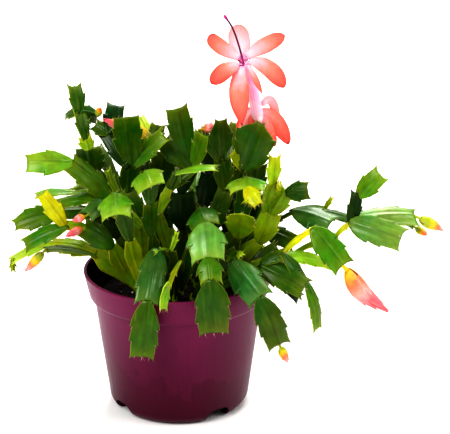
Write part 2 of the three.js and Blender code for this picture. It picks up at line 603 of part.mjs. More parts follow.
// The mix fills the pot inside and stands in small crumbs on top, with a plain hole for each foot.
function soilSolid(roots) {
  const wallRadius = pot.bodyTopRadius - pot.wall - 2 * clearance;
  const footRadius = pot.footRadius - pot.wall - clearance;
  const floor = pot.channelRise + pot.wall + clearance;
  const geometry = latheGeometry([
    [0, floor], [footRadius - soil.floorCut, floor], [footRadius, pot.footRound + clearance],
    ...soil.rings.map((share) => [wallRadius * share, soil.top]), [0, soil.top],
  ], soil.sides);
  const points = geometry.attributes.position;
  for (let index = 0; index < points.count; index += 1) {
    const x = points.getX(index);
    const y = points.getY(index);
    if (points.getZ(index) > soil.top - 1) {
      const [first, second] = soil.wave.map(([perX, perY]) => x * perX + y * perY);
      points.setZ(index, soilHeight(x, y) + soil.crumb * Math.sin(first) * Math.cos(second));
    }
  }
  let solid = solidFrom(geometry);
  const holeRadius = foot.radius + clearance;
  const holeDepth = foot.depth + clearance;
  for (const root of roots) {
    const bore = new THREE.CylinderGeometry(
      holeRadius, holeRadius, holeDepth + foot.holeAbove, foot.holeSides);
    bore.rotateX(Math.PI / 2);
    bore.translate(root.x, root.y, root.z + (foot.holeAbove - holeDepth) / 2);
    solid = solid.subtract(solidFrom(bore));
  }
  return solid;
}

const finishes = {
  burgundy: new THREE.MeshStandardMaterial({ color: '#5c1d38', roughness: 0.42 }),
  mix: new THREE.MeshStandardMaterial({ color: '#17110d', roughness: 0.95 }),
  leaf: new THREE.MeshStandardMaterial({ color: '#2f6b12', roughness: 0.45 }),
  coral: new THREE.MeshStandardMaterial({ color: '#ff7f6b', roughness: 0.55 }),
  magenta: new THREE.MeshStandardMaterial({ color: '#6b1450', roughness: 0.5 }),
  bud: new THREE.MeshStandardMaterial({ color: '#e9a24a', roughness: 0.5 }),
};

const group = new THREE.Group();
function addPiece(name, solid, finish) {
  const mesh = new THREE.Mesh(geometryFrom(solid), finish);
  mesh.name = name;
  group.add(mesh);
}

const allStems = { ...stems };
for (let index = 0; index < back.count; index += 1) {
  allStems[`stem_back_${index + 1}`] = backStem(index);
}
addPiece('pot', potSolid(), finishes.burgundy);
addPiece('soil', soilSolid(Object.values(allStems).map(footOf)), finishes.mix);
Object.entries(allStems).forEach(([name, stem], number) => {
  addPiece(name, stemSolid(stem, number), finishes.leaf);
});
addPiece('flower', flowerSolid(), finishes.coral);
addPiece('flower_style', styleSolid(0), finishes.magenta);
Object.entries(buds).forEach(([name, bud]) => addPiece(name, budSolid(bud), finishes.bud));

export default group;
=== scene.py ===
import math

import bpy
import numpy as np
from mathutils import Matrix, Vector, noise


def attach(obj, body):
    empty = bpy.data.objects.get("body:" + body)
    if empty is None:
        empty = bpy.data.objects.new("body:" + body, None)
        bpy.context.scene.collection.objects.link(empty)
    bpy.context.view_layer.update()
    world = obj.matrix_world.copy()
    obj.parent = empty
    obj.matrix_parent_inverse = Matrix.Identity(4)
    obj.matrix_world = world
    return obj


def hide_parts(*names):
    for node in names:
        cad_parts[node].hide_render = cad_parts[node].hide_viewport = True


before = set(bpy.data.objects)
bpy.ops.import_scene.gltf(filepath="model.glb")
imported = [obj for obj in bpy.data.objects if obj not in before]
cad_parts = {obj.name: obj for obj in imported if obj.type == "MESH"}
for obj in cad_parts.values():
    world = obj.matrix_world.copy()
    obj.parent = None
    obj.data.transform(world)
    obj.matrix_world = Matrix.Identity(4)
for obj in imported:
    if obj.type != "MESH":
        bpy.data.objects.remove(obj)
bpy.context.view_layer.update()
mm = 0.001  # sizes below are millimetres, and meshes are written in metres


def linear(hexColour):
    channels = [int(hexColour[at:at + 2], 16) / 255 for at in (1, 3, 5)]
    return [c / 12.92 if c <= 0.04045 else ((c + 0.055) / 1.055) ** 2.4 for c in channels] + [1.0]


def draw(seed):  # the same draw every time for the same piece
    value = math.sin(seed * 12.9898 + 4.1414) * 43758.5453
    return value - math.floor(value)


def unit(vector):
    return vector / np.linalg.norm(vector)


def ease(share):
    share = np.clip(share, 0, 1)
    return share * share * (3 - 2 * share)


def perMetre(sizeMm):  # texture scale for a pattern of that real size
    return 1 / (sizeMm * mm)


def newMaterial(name):
    made = bpy.data.materials.new(name)
    made.use_nodes = True
    return made, made.node_tree, made.node_tree.nodes["Principled BSDF"]


# Which shader socket each constant of a surface goes to.
sockets = {
    "roughness": "Roughness", "ior": "IOR", "specular": "Specular IOR Level", "sheen": "Sheen Weight",
    "coatRoughness": "Coat Roughness", "glow": "Subsurface Weight", "glowMm": "Subsurface Radius",
}
mostNoise = {"From Min": 0.3, "From Max": 0.7}  # where most of the values of a noise lie


def setConstants(shader, look):
    for name, socket in sockets.items():
        if name in look:
            shader.inputs[socket].default_value = look[name]
    if "glow" in look:
        shader.inputs["Subsurface Scale"].default_value = mm


def addNode(tree, kind, settings=None, links=None):
    made = tree.nodes.new(kind)
    for name, value in (settings or {}).items():
        if name == "stops":
            ramp = made.color_ramp
            while len(ramp.elements) < len(value):
                ramp.elements.new(0.5)
            for element, (place, colour) in zip(ramp.elements, value):
                element.position = place
                element.color = linear(colour)
        elif isinstance(name, str) and name in made.bl_rna.properties:
            setattr(made, name, value)
        else:
            made.inputs[name].default_value = value
    for name, source in (links or {}).items():
        tree.links.new(source, made.inputs[name])
    return made


# A mesh from lists of points in millimetres and faces. Each finish is (material, first face it is on).
def addMesh(name, points, faces, finishes, attributes=None):
    mesh = bpy.data.meshes.new(name)
    mesh.from_pydata((np.asarray(points, float) * mm).tolist(), [], faces)
    starts = [start for _, start in finishes] + [len(faces)]
    index = np.zeros(len(faces), np.int32)
    for number, (finish, start) in enumerate(finishes):
        mesh.materials.append(finish)
        index[start:starts[number + 1]] = number
    mesh.polygons.foreach_set("material_index", index)
    mesh.polygons.foreach_set("use_smooth", np.ones(len(faces), bool))
    for key, values in (attributes or {}).items():
        values = np.asarray(values, np.float32)
        if values.ndim == 2 and values.shape[1] == 3:
            mesh.attributes.new(key, "FLOAT_VECTOR", "POINT").data.foreach_set("vector", values.ravel())
        elif values.ndim == 2:
            mesh.attributes.new(key, "FLOAT_COLOR", "POINT").data.foreach_set("color", values.ravel())
        else:
            mesh.attributes.new(key, "FLOAT", "POINT").data.foreach_set("value", values)
    mesh.update()
    made = bpy.data.objects.new(name, mesh)
    bpy.context.scene.collection.objects.link(made)
    return made


def settle(piece, slotName, *nodes):
    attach(piece, "root")
    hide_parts(*nodes)


def joinShell(points, faces, shell, itsFaces):  # adds a shell to those already there
    start = sum(len(part) for part in points)
    faces.extend([start + at for at in face] for face in itsFaces)
    points.append(shell)


def outwardAt(angle):
    return np.array((math.cos(angle), math.sin(angle), 0))


# The two faces of a blade share the vertices round their edge, so the blade is closed.
def bladeFaces(rows, columns):
    upper = np.arange(rows * columns).reshape(rows, columns)
    lower = upper.copy()
    inner = (rows - 2) * (columns - 2)
    lower[1:-1, 1:-1] = rows * columns + np.arange(inner).reshape(rows - 2, columns - 2)
    faces = []
    for row in range(rows - 1):
        for column in range(columns - 1):
            ring = [(row, column), (row, column + 1), (row + 1, column + 1), (row + 1, column)]
            faces.append([int(upper[at]) for at in ring])
            faces.append([int(lower[at]) for at in reversed(ring)])
    return faces


def bladePoints(middle, offset):  # grids of points: the middle surface, and its half thickness
    upper = (middle + offset).reshape(-1, 3)
    lower = (middle - offset)[1:-1, 1:-1].reshape(-1, 3)
    return np.vstack([upper, lower])


def bothFaces(grid):  # one value a vertex, in the order of bladePoints
    shape = (-1,) + grid.shape[2:]
    return np.concatenate([grid.reshape(shape), grid[1:-1, 1:-1].reshape(shape)])


# The layout sheet leans back by its tilt, and an eye looks at it from in front. A place is (across, up,
# depth): across and up on the sheet, and how far back the thing itself stands, all in millimetres.
sheet = {"tiltDeg": 19.4, "distance": 1200, "centre": (32.2, 12.1, 130.4)}
tilt = math.radians(sheet["tiltDeg"])
sheetCentre = np.array(sheet["centre"])
sheetUp = np.array((0, math.sin(tilt), math.cos(tilt)))
toEye = np.array((0, -math.cos(tilt), math.sin(tilt)))
eye = sheetCentre + toEye * sheet["distance"]


def place(across, up, depth):
    ray = sheetCentre + np.array((across, 0, 0)) + sheetUp * up - eye
    return eye + ray * ((depth - eye[1]) / ray[1])


# Joints: (the joint it grows from, or -1 for the foot, across, up, depth, width, turn, tone, apex). The
# apex is the width of the end as a share of the joint's, where it isn't the usual one.
stems = {
    "stem_left_low": {"root": (-30, 2), "joints": [
        (-1, -89.5, -23.8, -5, 19, 36, "olive"), (0, -119.8, -17.9, 4, 16, 44, "young"),
        (0, -123.4, -22.4, -22, 14, 75, "leaf"), (1, -147.4, -29.6, -4, 9, 45, "lime"),
        (3, -146, -37, -4, 4, 20, "olive"),
    ]},
    "stem_left_middle": {"root": (-27, -9), "joints": [
        (-1, -77.8, -20, -22, 13, 20, "olive"), (0, -97.1, -6.9, -26, 17, 20, "deep"),
        (1, -110.9, -5.5, -30, 8, 20, "young"), (2, -125.6, 15.8, -36, 12, 15, "yellow", 0.6),
        (2, -137.7, -19.3, -34, 14, 35, "leaf"),
    ]},
    "stem_left_high": {"root": (-22, -12), "joints": [
        (-1, -58.5, -6.9, -14, 16, 5, "olive"), (0, -73.7, 3.4, -12, 12, 15, "olive"),
        (1, -80.6, 14.5, -12, 10, 30, "leaf"), (2, -105.8, 37.4, -19.5, 17.5, 30, "leaf"),
        (3, -136.4, 37.3, -23, 17.5, 20, "bright", 0.66), (2, -105.4, 16.5, 6, 12, 66, "bright"),
        (5, -130.1, 14.8, 4, 13, 64, "bright"), (2, -115, 9.6, -22, 14, 55, "leaf"),
        (2, -94.3, 1.4, -30, 12, 0, "blue"),
    ]},
    "stem_left_far": {"root": (-22, 14), "joints": [
        (-1, -73.7, -13.1, 12, 11, 20, "deep"), (0, -87.5, 2.1, 10, 14, 20, "deep"),
        (1, -113.6, 3.6, 4, 14, 40, "deep"), (2, -144.6, -5.4, -2, 17.5, 28, "leaf", 0.42),
    ]},
    "stem_left_tower": {"root": (-12, 12), "joints": [
        (-1, -58.5, -5.5, 12, 12, 20, "deep"), (0, -74.4, 12.4, 4, 14, 10, "deep"),
        (1, -91.6, 29.6, 6, 16, 10, "deep"), (2, -94.3, 47.5, -14, 20, 0, "deep"),
        (3, -96.4, 54.4, -14, 10, 10, "olive"), (4, -100.4, 73, -8, 10, 30, "deep"),
        (5, -103.4, 90.2, -6, 11, 20, "deep"), (5, -88.1, 69.4, 4, 12, 20, "deep"),
        (5, -109.5, 70.2, 2, 8, 30, "deep"), (1, -80.6, 32.4, -8, 6, 30, "lime"),
        (1, -87.5, 48.9, 24, 10, 30, "deep"),
    ]},
    "stem_upper_left": {"root": (-9, 5), "joints": [
        (-1, -54.4, -10.3, 3, 11, 20, "deep"), (0, -66.8, 17.2, 0, 14, 10, "deep"),
        (1, -64.7, 36.5, -14, 15, 20, "deep"), (2, -68.2, 68.9, -38, 20, 5, "deep"),
        (2, -81.3, 57.8, -6, 13, 15, "shade"), (4, -89.4, 63.4, -3, 12, 30, "deep"),
        (4, -75.1, 77, 10, 14, 10, "shade"), (2, -42.3, 56.9, -16, 14, 30, "leaf"),
        (2, -48.9, 53.7, 4, 14, 25, "deep"), (8, -46.1, 63.4, 10, 12, 10, "deep"),
        (8, -58.5, 68.9, 18, 8, 20, "lime"),
    ]},
    "stem_top_centre": {"root": (4, 3), "joints": [
        (-1, -46.1, 4.1, -12, 10, 30, "olive"), (0, -38.6, 20.7, -10, 9, 40, "olive"),
        (1, -22, 35.1, -8, 12, 20, "deep"), (2, -41.3, 53.7, -2, 19, 5, "deep"),
        (2, -33.3, 74.7, -14, 17.5, 5, "deep"), (2, -15.8, 57.2, -20, 12, 20, "leaf"),
        (1, -32.4, 31.7, -30, 8, 30, "deep"), (6, -6.2, 34.4, -34, 11, 65, "bright"),
    ]},
    "stem_centre_top": {"root": (12, 6), "joints": [
        (-1, -7.6, -7.6, 4, 12, 20, "deep"), (0, 0.7, 18.6, 2, 14, 10, "deep"),
        (1, -2.1, 41.3, 0, 14, 10, "deep"), (2, -2.8, 66.6, -6, 17, 10, "deep", 0.4),
        (2, 7.6, 64.7, 14, 12, 30, "deep"), (2, -17.9, 60, 6, 11, 35, "deep"),
        (1, 12.4, 33.1, -20, 10, 20, "deep"), (6, 24.4, 64.5, -31, 27, 5, "deep", 0.15),
        (6, 4.8, 44.1, -26, 6, 20, "young"),
    ]},
    "stem_right_olive": {"root": (26, 4), "joints": [
        (-1, 24.1, -17.2, -4, 15, 15, "olive"), (0, 32, 2.8, -6, 17, 8, "olive"),
        (1, 42, 19.3, -8, 15, 12, "olive"), (2, 57.2, 18.4, -4, 14, 8, "deep"),
        (1, 32.4, 23.4, -21, 9.6, 26, "olive"), (4, 34.4, 41.3, -20, 10, 20, "young"),
        (2, 36.4, 22, -27, 7, 10, "yellow"),
    ]},
    "stem_right_upper": {"root": (34, 10), "joints": [
        (-1, 27.5, -7.6, 6, 11, 20, "deep"), (0, 47.5, 3.8, 0, 5, 60, "deep"),
        (1, 73, -4.1, -20, 19, 35, "blue"), (1, 86.1, -0.7, 0, 15, 60, "blue"),
        (1, 69.1, 6, 17.6, 9.6, 71, "leaf"), (4, 73.4, 13.2, 17.4, 3.4, 14, "young"),
        (0, 47.5, -17.2, 0, 15, 20, "deep"),
    ]},
    "stem_right_long": {"root": (30, -10), "joints": [
        (-1, 18.6, -31, -14, 11, 20, "deep"), (0, 44.8, -26.9, -16, 10, 40, "olive"),
        (1, 76.4, -13.1, -14, 7, 60, "young"), (2, 87.5, -2.8, -12, 6, 60, "yellow"),
        (3, 121.2, -15, -24, 20, 10, "fresh"), (3, 91, 16.6, -6, 11, 25, "shade"),
        (5, 107, 29.4, -8, 15, 15, "mid"), (3, 131, 0.6, -2, 18, 38, "fresh"),
        (3, 110.9, 2.2, 14, 12, 50, "blue"), (8, 129.5, -6.2, 12, 8, 60, "blue"),
        (0, 36, -21, -10, 12, 10, "deep"),
    ]},
    "stem_right_lime": {"root": (22, -18), "joints": [
        (-1, 18.6, -36.5, -26, 8, 20, "deep"), (0, 39.9, -25.5, -27, 6, 30, "olive"),
        (1, 61.6, -8, -24, 7, 55, "yellow"), (2, 81.2, -33.7, -34, 19, 8, "mid"),
        (1, 70.9, -32.4, -20, 13, 48, "lime"),
    ]},
    "stem_right_front": {"root": (14, -24), "joints": [
        (-1, 25.5, -31.7, -36, 10, 20, "deep"), (0, 54.4, -48.9, -46, 18, 10, "deep"),
        (0, 40.6, -24.8, -36, 9, 30, "deep"), (2, 56.1, -46.1, -38, 12, 45, "deep"),
        (3, 64, -76.8, -40, 12.5, 48, "leaf"), (0, 51, -55.8, -28, 10, 20, "shade"),
    ]},
    "stem_front_right": {"root": (10, -20), "joints": [
        (-1, 7.6, -22.7, -38, 11, 20, "deep"), (0, 4.8, -31, -50, 10, 20, "leaf"),
        (1, 24.1, -55.8, -58, 22, 5, "blue"), (2, 37.5, -88.1, -58, 19, 10, "deep"),
        (0, 11, -26.9, -48, 6, 20, "lime"),
    ]},
    "stem_front_centre": {"root": (2, -10), "joints": [
        (-1, -17.2, -14.5, -16, 11, 20, "deep"), (0, -14.5, 5.5, -22, 12, 10, "deep"),
        (1, -13.8, -4.8, -50, 23, 0, "leaf"), (2, -11.7, -28.9, -66, 26, 0, "fresh"),
        (3, -9.6, -44.1, -76, 17, 0, "leaf"), (4, -7.6, -79.9, -77, 23, 0, "deep"),
    ]},
    "stem_front_left": {"root": (-10, -24), "joints": [
        (-1, -44.8, -22.7, -42, 13, 10, "deep"), (0, -53.7, -58.5, -70, 19, 10, "blue"),
        (1, -57.2, -96.4, -73, 19, 5, "deep"), (-1, -37.2, -22.7, -26, 13, 0, "deep"),
        (3, -33.1, -10.3, -30, 4, 20, "lime"), (3, -48.2, -24.1, -46, 4, 20, "lime"),
    ]},
    "stem_front_thin": {"root": (-2, -22), "joints": [
        (-1, -29.6, -31, -46, 6, 20, "deep"), (0, -38.6, -47.5, -67, 4, 30, "olive"),
        (1, -42.7, -63.4, -69, 10, 55, "lime"),
    ]},
    "stem_forward_left": {"root": (-8, -13), "joints": [
        (-1, -50.3, -13.1, -20, 10, 20, "deep"), (0, -51.6, 9, -26, 12, 20, "deep"),
        (1, -52.3, 31, -32, 12, 10, "deep"), (2, -51, 20.7, -52, 23, 0, "bright"),
    ]},
    "stem_forward_low": {"root": (-21, -20), "joints": [
        (-1, -65.4, -15.8, -28, 13, 15, "olive"), (0, -73.7, 16.5, -32, 12, 10, "deep"),
        (1, -75.1, 1.4, -60, 23, 0, "bright"),
    ]},
    "stem_forward_right": {"root": (16, 0), "joints": [
        (-1, 10.3, -6.2, -4, 11, 20, "deep"), (0, 17.2, 26.2, -30, 13, 10, "deep"),
        (1, 15.1, 19.3, -44, 27, 0, "bright"), (2, 22.7, 8.4, -54, 11.5, 0, "yellow", 0.5),
        (2, 15.1, 9, -44, 7, 0, "young"),
    ]},
    "stem_forward_centre": {"root": (21, -8), "joints": [
        (-1, 9, -14.5, -22, 10, 20, "deep"), (0, 11.7, 2.1, -62, 20, 0, "olive"),
    ]},
    # The stems behind the plant are mostly in the shade tone: painted shade, for where little light reaches.
    "stem_behind_left": {"root": (-19, 30), "joints": [
        (-1, -50, -8, 35, 11, 20, "deep"), (0, -42.8, 14.5, 27.6, 15, 5, "shade"),
        (1, -42, 45, 24, 20, 8, "deep"), (1, -57, 36, 30, 16, 10, "shade"),
    ]},
    "stem_behind_middle": {"root": (-4, 13), "joints": [
        (-1, -29, -8, 12, 12, 20, "deep"), (0, -30, 17, 12, 20, 5, "shade"),
        (1, -24, 44, 16, 15, 10, "shade"), (0, -14, 8, 12, 15, 10, "deep"),
        (3, -10, 30, 14, 16, 5, "shade"), (4, -11, 48, 16, 13, 10, "shade"),
    ]},
    "stem_behind_centre": {"root": (9, 14), "joints": [
        (-1, 1, -9, 9, 9, 20, "deep"), (0, 5, 14, 10, 14, 5, "shade"), (1, 7, 38, 12, 13, 10, "shade"),
    ]},
    "stem_behind_right": {"root": (27, 18), "joints": [
        (-1, 22, -9, 16, 12, 20, "deep"), (0, 19, 14, 16, 17, 5, "shade"), (1, 22, 36, 12, 16, 10, "deep"),
        (0, 32, 14, 20, 12, 15, "deep"),
    ]},
}
buds = {
    "bud_left_low": {"stem": "stem_left_low", "joint": 2, "tip": (-137.3, -37.2, -20),
                     "width": 6, "blush": -0.16},
    "bud_left_upper": {"stem": "stem_left_high", "joint": 8, "tip": (-104.6, -2.6, -38),
                       "width": 4.8, "blush": 0.08},
    "bud_left_lower": {"stem": "stem_left_middle", "joint": 1, "tip": (-109.3, -13.2, -47),
                       "width": 4.8, "blush": 0.2},
    "bud_tower": {"stem": "stem_left_tower", "joint": 7, "tip": (-86, 75, -12),
                  "width": 4.1, "blush": -0.5},
    "bud_behind": {"stem": "stem_upper_left", "joint": 8, "tip": (-82.6, 66.8, -27),
                   "width": 9.6, "blush": -0.08},
    "bud_top": {"stem": "stem_centre_top", "joint": 5, "tip": (-5.5, 62.4, 2),
                "width": 6, "blush": 0.2},
    "bud_right_long": {"stem": "stem_right_long", "joint": 7, "tip": (150.1, -9, -4),
                       "width": 6.9, "blush": -0.3},
    "bud_right_small": {"stem": "stem_right_long", "joint": 9, "tip": (139.1, -12.4, 0),
                        "width": 4.8, "blush": -0.4},
    "bud_large": {"stem": "stem_right_lime", "joint": 3, "tip": (112.2, -64, -40),
                  "width": 11.7, "blush": 0.2, "bow": (-2.8, 0, -2.3)},
    "bud_hanging": {"stem": "stem_front_right", "joint": 3, "tip": (43, -99.8, -75),
                    "width": 5.2, "blush": -0.28},
}
# The chains over the back of the pot, each with the same four joints. Turns and rises are in degrees.
back = {
    "count": 6, "firstTurn": 30, "lastTurn": 150, "rootRadius": 26, "rootSpread": 5,
    "grownFrom": [-1, 0, 1, 1], "rise": [74, 50, 8, 30], "reach": [33, 29, 27, 24],
    "width": [11, 15, 17, 15], "tones": ["olive", "deep", "leaf", "leaf"],
    "swing": 16, "forkSwing": 55, "riseSwing": 18, "turn": 12,
}
soil = {
    "top": 77.5, "mound": 5, "radius": 58, "wallRadius": 55.7, "footRadius": 46.6, "floor": 5,
    "stemRise": 1.5,  # from the soil to where the first joint of a stem starts
}


def soilHeight(x, y):
    share = min(math.hypot(x, y) / soil["radius"], 1)
    return soil["top"] + soil["mound"] * (1 - share * share)


def footOf(root):
    return np.array((root[0], root[1], soilHeight(*root) + soil["stemRise"]))


def backStem(index):  # a chain that arches over the back of the pot
    turn = back["firstTurn"] + (back["lastTurn"] - back["firstTurn"]) * index / (back["count"] - 1)
    straight = outwardAt(math.radians(turn))
    root = straight * (back["rootRadius"] + back["rootSpread"] * (1 if index % 2 else -1))
    tips = []
    joints = []
    for step, parent in enumerate(back["grownFrom"]):
        start = footOf(root[:2]) if parent < 0 else tips[parent]
        swing = (draw(index * 7 + step) - 0.5) * back["swing"] + (back["forkSwing"] if step == 3 else 0)
        rise = math.radians(back["rise"][step] + (draw(index * 5 + step) - 0.5) * back["riseSwing"])
        outward = outwardAt(math.radians(turn + swing))
        along = outward * math.cos(rise) + np.array((0, 0, math.sin(rise)))
        tips.append(start + along * back["reach"][step])
        joints.append((parent, 0, 0, 0, back["width"][step], back["turn"], back["tones"][step]))
    facing = straight + np.array((0, 0, 1))
    return {"root": tuple(root[:2]), "joints": joints, "tips": tips, "facing": facing}


def tipsOf(stem):
    return stem.get("tips") or [place(*joint[1:4]) for joint in stem["joints"]]


# Shares are of a joint's length along it and of its half width across it.
blade = {
    "neck": 1.9, "node": 1.15, "stalkNode": 1.9,  # mm: half width at the foot, half thickness there
    "midrib": 2.3, "margin": 0.85, "veinRise": 0.13, "ribMm": 0.09,  # mm: thickness, and what stands on it
    "midribWidth": 0.12, "veinWidth": 0.055, "veinMm": 0.75, "veinSlant": 0.3, "ribs": 10.5,
    "twoTeethFrom": 33,  # mm: a shorter joint has one tooth a side
    "firstTooth": 0.2, "widest": 0.6, "taper": 1.5, "notch": 0.88, "apex": 0.78, "sweep": 0.05,
    "ragged": 0.06, "stagger": 0.05, "spike": 0.8, "spikeLean": 0.95, "spikeFrom": 0.72, "hornRise": 2.9,
    "bow": 0.07, "fold": 0.3, "wave": 0.05, "ripples": 9, "dome": 0.12,  # how the flat of it bends
    "sink": 2.6, "sinkStraight": 1.6, "footGap": 0.8, "forkOut": 0.2, "forkBack": 0.8,  # how it is joined on
}
columnShares = np.array((0, 0.14, 0.28, 0.42, 0.56, 0.7, 0.82, 0.92, 1.0))
columns = np.concatenate([-columnShares[:0:-1], columnShares])
innerColumn = 0.7  # from here outwards the columns follow the toothed margin
stalkRows = [(0, 0, 0.3), (0.3, 0.3, 0.62), (0.75, 0.75, 1.0), (1, 1.03, 0.55)]


def toothTips(length):  # the share along of each tooth of one side
    teeth = 1 if length < blade["twoTeethFrom"] else 2
    first = blade["firstTooth"]
    return [first + (1 - first) * tooth / (teeth + 1) for tooth in range(1, teeth + 1)]


# One side of a joint, as rows of (share along at the middle, at the margin, half width as a share). A
# stop is the same three and how far its spike stands out, in millimetres.
def marginRows(length, halfWidth, seed, side, isStalk, apex):
    neck = min(blade["neck"] / halfWidth, 0.6)
    if isStalk:
        stops = [(*row, 0) for row in stalkRows]
    else:
        stops = [(0, 0, neck, 0)]
        for tooth, tip in enumerate(toothTips(length), 1):
            chance = draw(seed + tooth * 0.7 + side * 0.3)
            ragged = (chance - 0.5) * blade["ragged"]
            reach = 1 - blade["taper"] * (tip - blade["widest"]) ** 2
            stops.append((tip - blade["sweep"], tip + ragged, reach, blade["spike"] * (0.55 + 0.9 * chance)))
            stops.append((tip, tip + ragged + 0.012, reach * blade["notch"], 0))
        stops.append((1, 1, apex, blade["hornRise"] * (0.75 + 0.5 * draw(seed + side * 0.4 + 0.3))))
    rows = [stops[0][:3]]
    for number, (low, high) in enumerate(zip(stops, stops[1:])):
        cut = not isStalk and number > 0 and number % 2 == 1  # the step just past a tooth
        isHorn = not isStalk and number == len(stops) - 2
        steps = 2 if cut else 14 if number == 0 else 9
        for step in range(1, steps + 1):
            t = step / steps
            grown = max((t - blade["spikeFrom"]) / (1 - blade["spikeFrom"]), 0) ** 1.5
            spike = low[3] * (1 - t) if cut else high[3] * grown
            lean = spike if isHorn else spike * blade["spikeLean"] / blade["spike"]
            middle = low[0] + (high[0] - low[0]) * t
            edge = low[1] + (high[1] - low[1]) * t + lean / length
            if number == 0 and not isStalk:
                out = low[2] + (high[2] - low[2]) * math.sin(t * math.pi / 2) ** 0.85
            else:
                out = low[2] + (high[2] - low[2]) * (t if cut else float(ease(t) * 0.6 + t * 0.4))
            if not cut and not isStalk:
                out += 0.05 * math.sin(math.pi * t) * (number > 0)
                out += 0.012 * math.sin(t * 23 + seed * 7 + side)
            out += spike * (0.25 if isHorn else 1) / halfWidth
            rows.append((middle, edge, out))
    return np.array(rows)


def facingOf(base, tip, turn, towards):
    axis = unit(tip - base)
    facing = unit(towards - axis * np.dot(towards, axis))
    rolled = np.cross(axis, facing)
    if rolled[2] + 0.25 * rolled[0] < 0:
        rolled = -rolled
    roll = math.radians(turn)
    normal = facing * math.cos(roll) + rolled * math.sin(roll)
    return axis, normal, np.cross(axis, normal)


# The veins run from the midrib out to each tooth and horn.
def veinGrid(across, along, length):
    veins = np.exp(-(across / blade["veinWidth"]) ** 2)
    for tip, reach in [(tip, 0.95) for tip in toothTips(length)] + [(1.05, 0.75)]:
        line = tip - blade["veinSlant"] * (1 - np.abs(across) / reach)
        strength = np.exp(-((along - line) * length / blade["veinMm"]) ** 2) * 0.55
        veins = np.maximum(veins, strength * (np.abs(across) < reach))
    return veins


# How far each point is lifted off the flat: a joint arches, folds along its midrib, ripples at the
# margins, domes and has fine ribs.
def liftGrid(across, along, length, halfWidth, seed, isStalk, up):
    fold = (draw(seed) - 0.35) * blade["fold"]
    ripple = np.sin(along * blade["ripples"] + draw(seed + 0.2) * 6 + np.sign(columns)) * np.abs(across) ** 2
    lift = 4 * (blade["bow"] * length * up) * along * (1 - along)
    lift = lift - fold * halfWidth * (np.sqrt(across ** 2 + 0.01) - 0.1)
    lift = lift + ripple * blade["wave"] * halfWidth * (0 if isStalk else 1)
    lift = lift - blade["dome"] * halfWidth * across ** 2 * up
    ribs = np.cos(np.abs(across) * blade["ribs"] + draw(seed + 0.4) * 2)
    ribs = ribs * ease(along * 3) * ease((1.05 - along) * 4)
    return lift + ribs * blade["ribMm"] * min(halfWidth / 8, 1.2)


# Half the thickness: round at the foot, thickest along the midrib, and closed at the margins.
def halfGrid(across, along, middle, veins, isStalk):
    size = np.abs(columns)
    rounded = 1 - ease(along / (0.55 if isStalk else 0.16))
    closing = np.sqrt(1 - np.clip((size - 0.8) / 0.2, 0, 1) ** 2)
    closing = closing * np.sqrt(1 - np.clip((middle - 0.94) / 0.06, 0, 1) ** 2)
    thick = blade["midrib"] - blade["margin"]
    flat = blade["margin"] + thick * np.exp(-(across / blade["midribWidth"]) ** 2)
    half = 0.5 * flat + blade["veinRise"] * veins
    neckHalf = (blade["stalkNode"] if isStalk else blade["node"]) * np.sqrt(1 - size ** 2)
    half = (half * (1 - rounded) + neckHalf * rounded) * closing
    half[0] = 0
    return half


def jointShell(start, tip, joint, seed, towards, lead):
    parent, _, _, _, width, turn = joint[:6]
    apex = joint[7] if len(joint) > 7 else blade["apex"]
    isStalk = parent < 0
    halfWidth = width / 2
    axis, normal, sideways = facingOf(start, tip, turn, towards)
    length = np.linalg.norm(tip - start) - lead
    origin = start + axis * lead
    sides = [marginRows(length, halfWidth, seed, side, isStalk, apex) for side in (-1, 1)]
    middle = sides[0][:, :1]
    edge = np.where(columns < 0, sides[0][:, 1:2], sides[1][:, 1:2])
    out = np.where(columns < 0, sides[0][:, 2:3], sides[1][:, 2:3])
    stagger = 0 if isStalk else (draw(seed + 0.5) - 0.5) * blade["stagger"]
    edge = edge + np.sign(columns) * stagger * ease(middle * 4)
    size = np.abs(columns)
    power = 1.25 + 2.2 * ease((middle - 0.85) / 0.15)
    along = middle + (edge - middle) * size ** power
    # The inner columns run smoothly, whatever the teeth do.
    inner = 0.62 * np.minimum(np.min(out[:, [0, -1]], axis=1, keepdims=True) / 0.75, 1)
    inner = np.minimum(inner, 0.66 * (0.16 + 0.84 * np.sin(np.clip(middle / 0.4, 0, 1) * math.pi / 2)))
    reach = np.where(size <= innerColumn, inner * size / innerColumn,
                     inner + (out - inner) * (size - innerColumn) / (1 - innerColumn))
    across = np.sign(columns) * reach
    veins = veinGrid(across, along, length) * (0.4 if isStalk else 1)
    up = -1 if normal[2] < 0 else 1
    lift = liftGrid(across, along, length, halfWidth, seed, isStalk, up)
    half = halfGrid(across, along, middle, veins, isStalk)
    points = origin + axis * (along * length)[..., None] + sideways * (across * halfWidth)[..., None]
    points = points + normal * lift[..., None]
    grain = (across * halfWidth, along * length * 0.1, np.full(along.shape, seed * 3.7 % 97))
    values = {
        "along": along, "across": across, "vein": veins, "grain": np.stack(grain, axis=2),
        "marginMm": np.minimum((out - reach) * halfWidth, (1.02 - middle) * length + 0 * across),
    }
    hairs = []  # tufts as (place, direction, bristles): in each notch and along the flat tip
    if not isStalk:
        for side in (0, -1):
            for row in np.flatnonzero(np.diff(np.abs(across[:, side])) < -0.06)[::2]:
                hairs.append((points[row + 2, side], axis * 0.8 + sideways * np.sign(columns[side]) * 0.5, 2))
        for aside, count in ((0, 4), (-4, 2), (4, 2)):
            hairs.append((points[-1, len(columns) // 2 + aside], axis, count))
    return bladePoints(points, normal * half[..., None]), len(points), values, hairs


footRings = ((-14, 0.0), (-13.6, 1.2), (-12.5, 2.0), (-6, 2.2), (-1, 2.1), (1.5, 1.8), (3.5, 1.0), (3.8, 0.0))


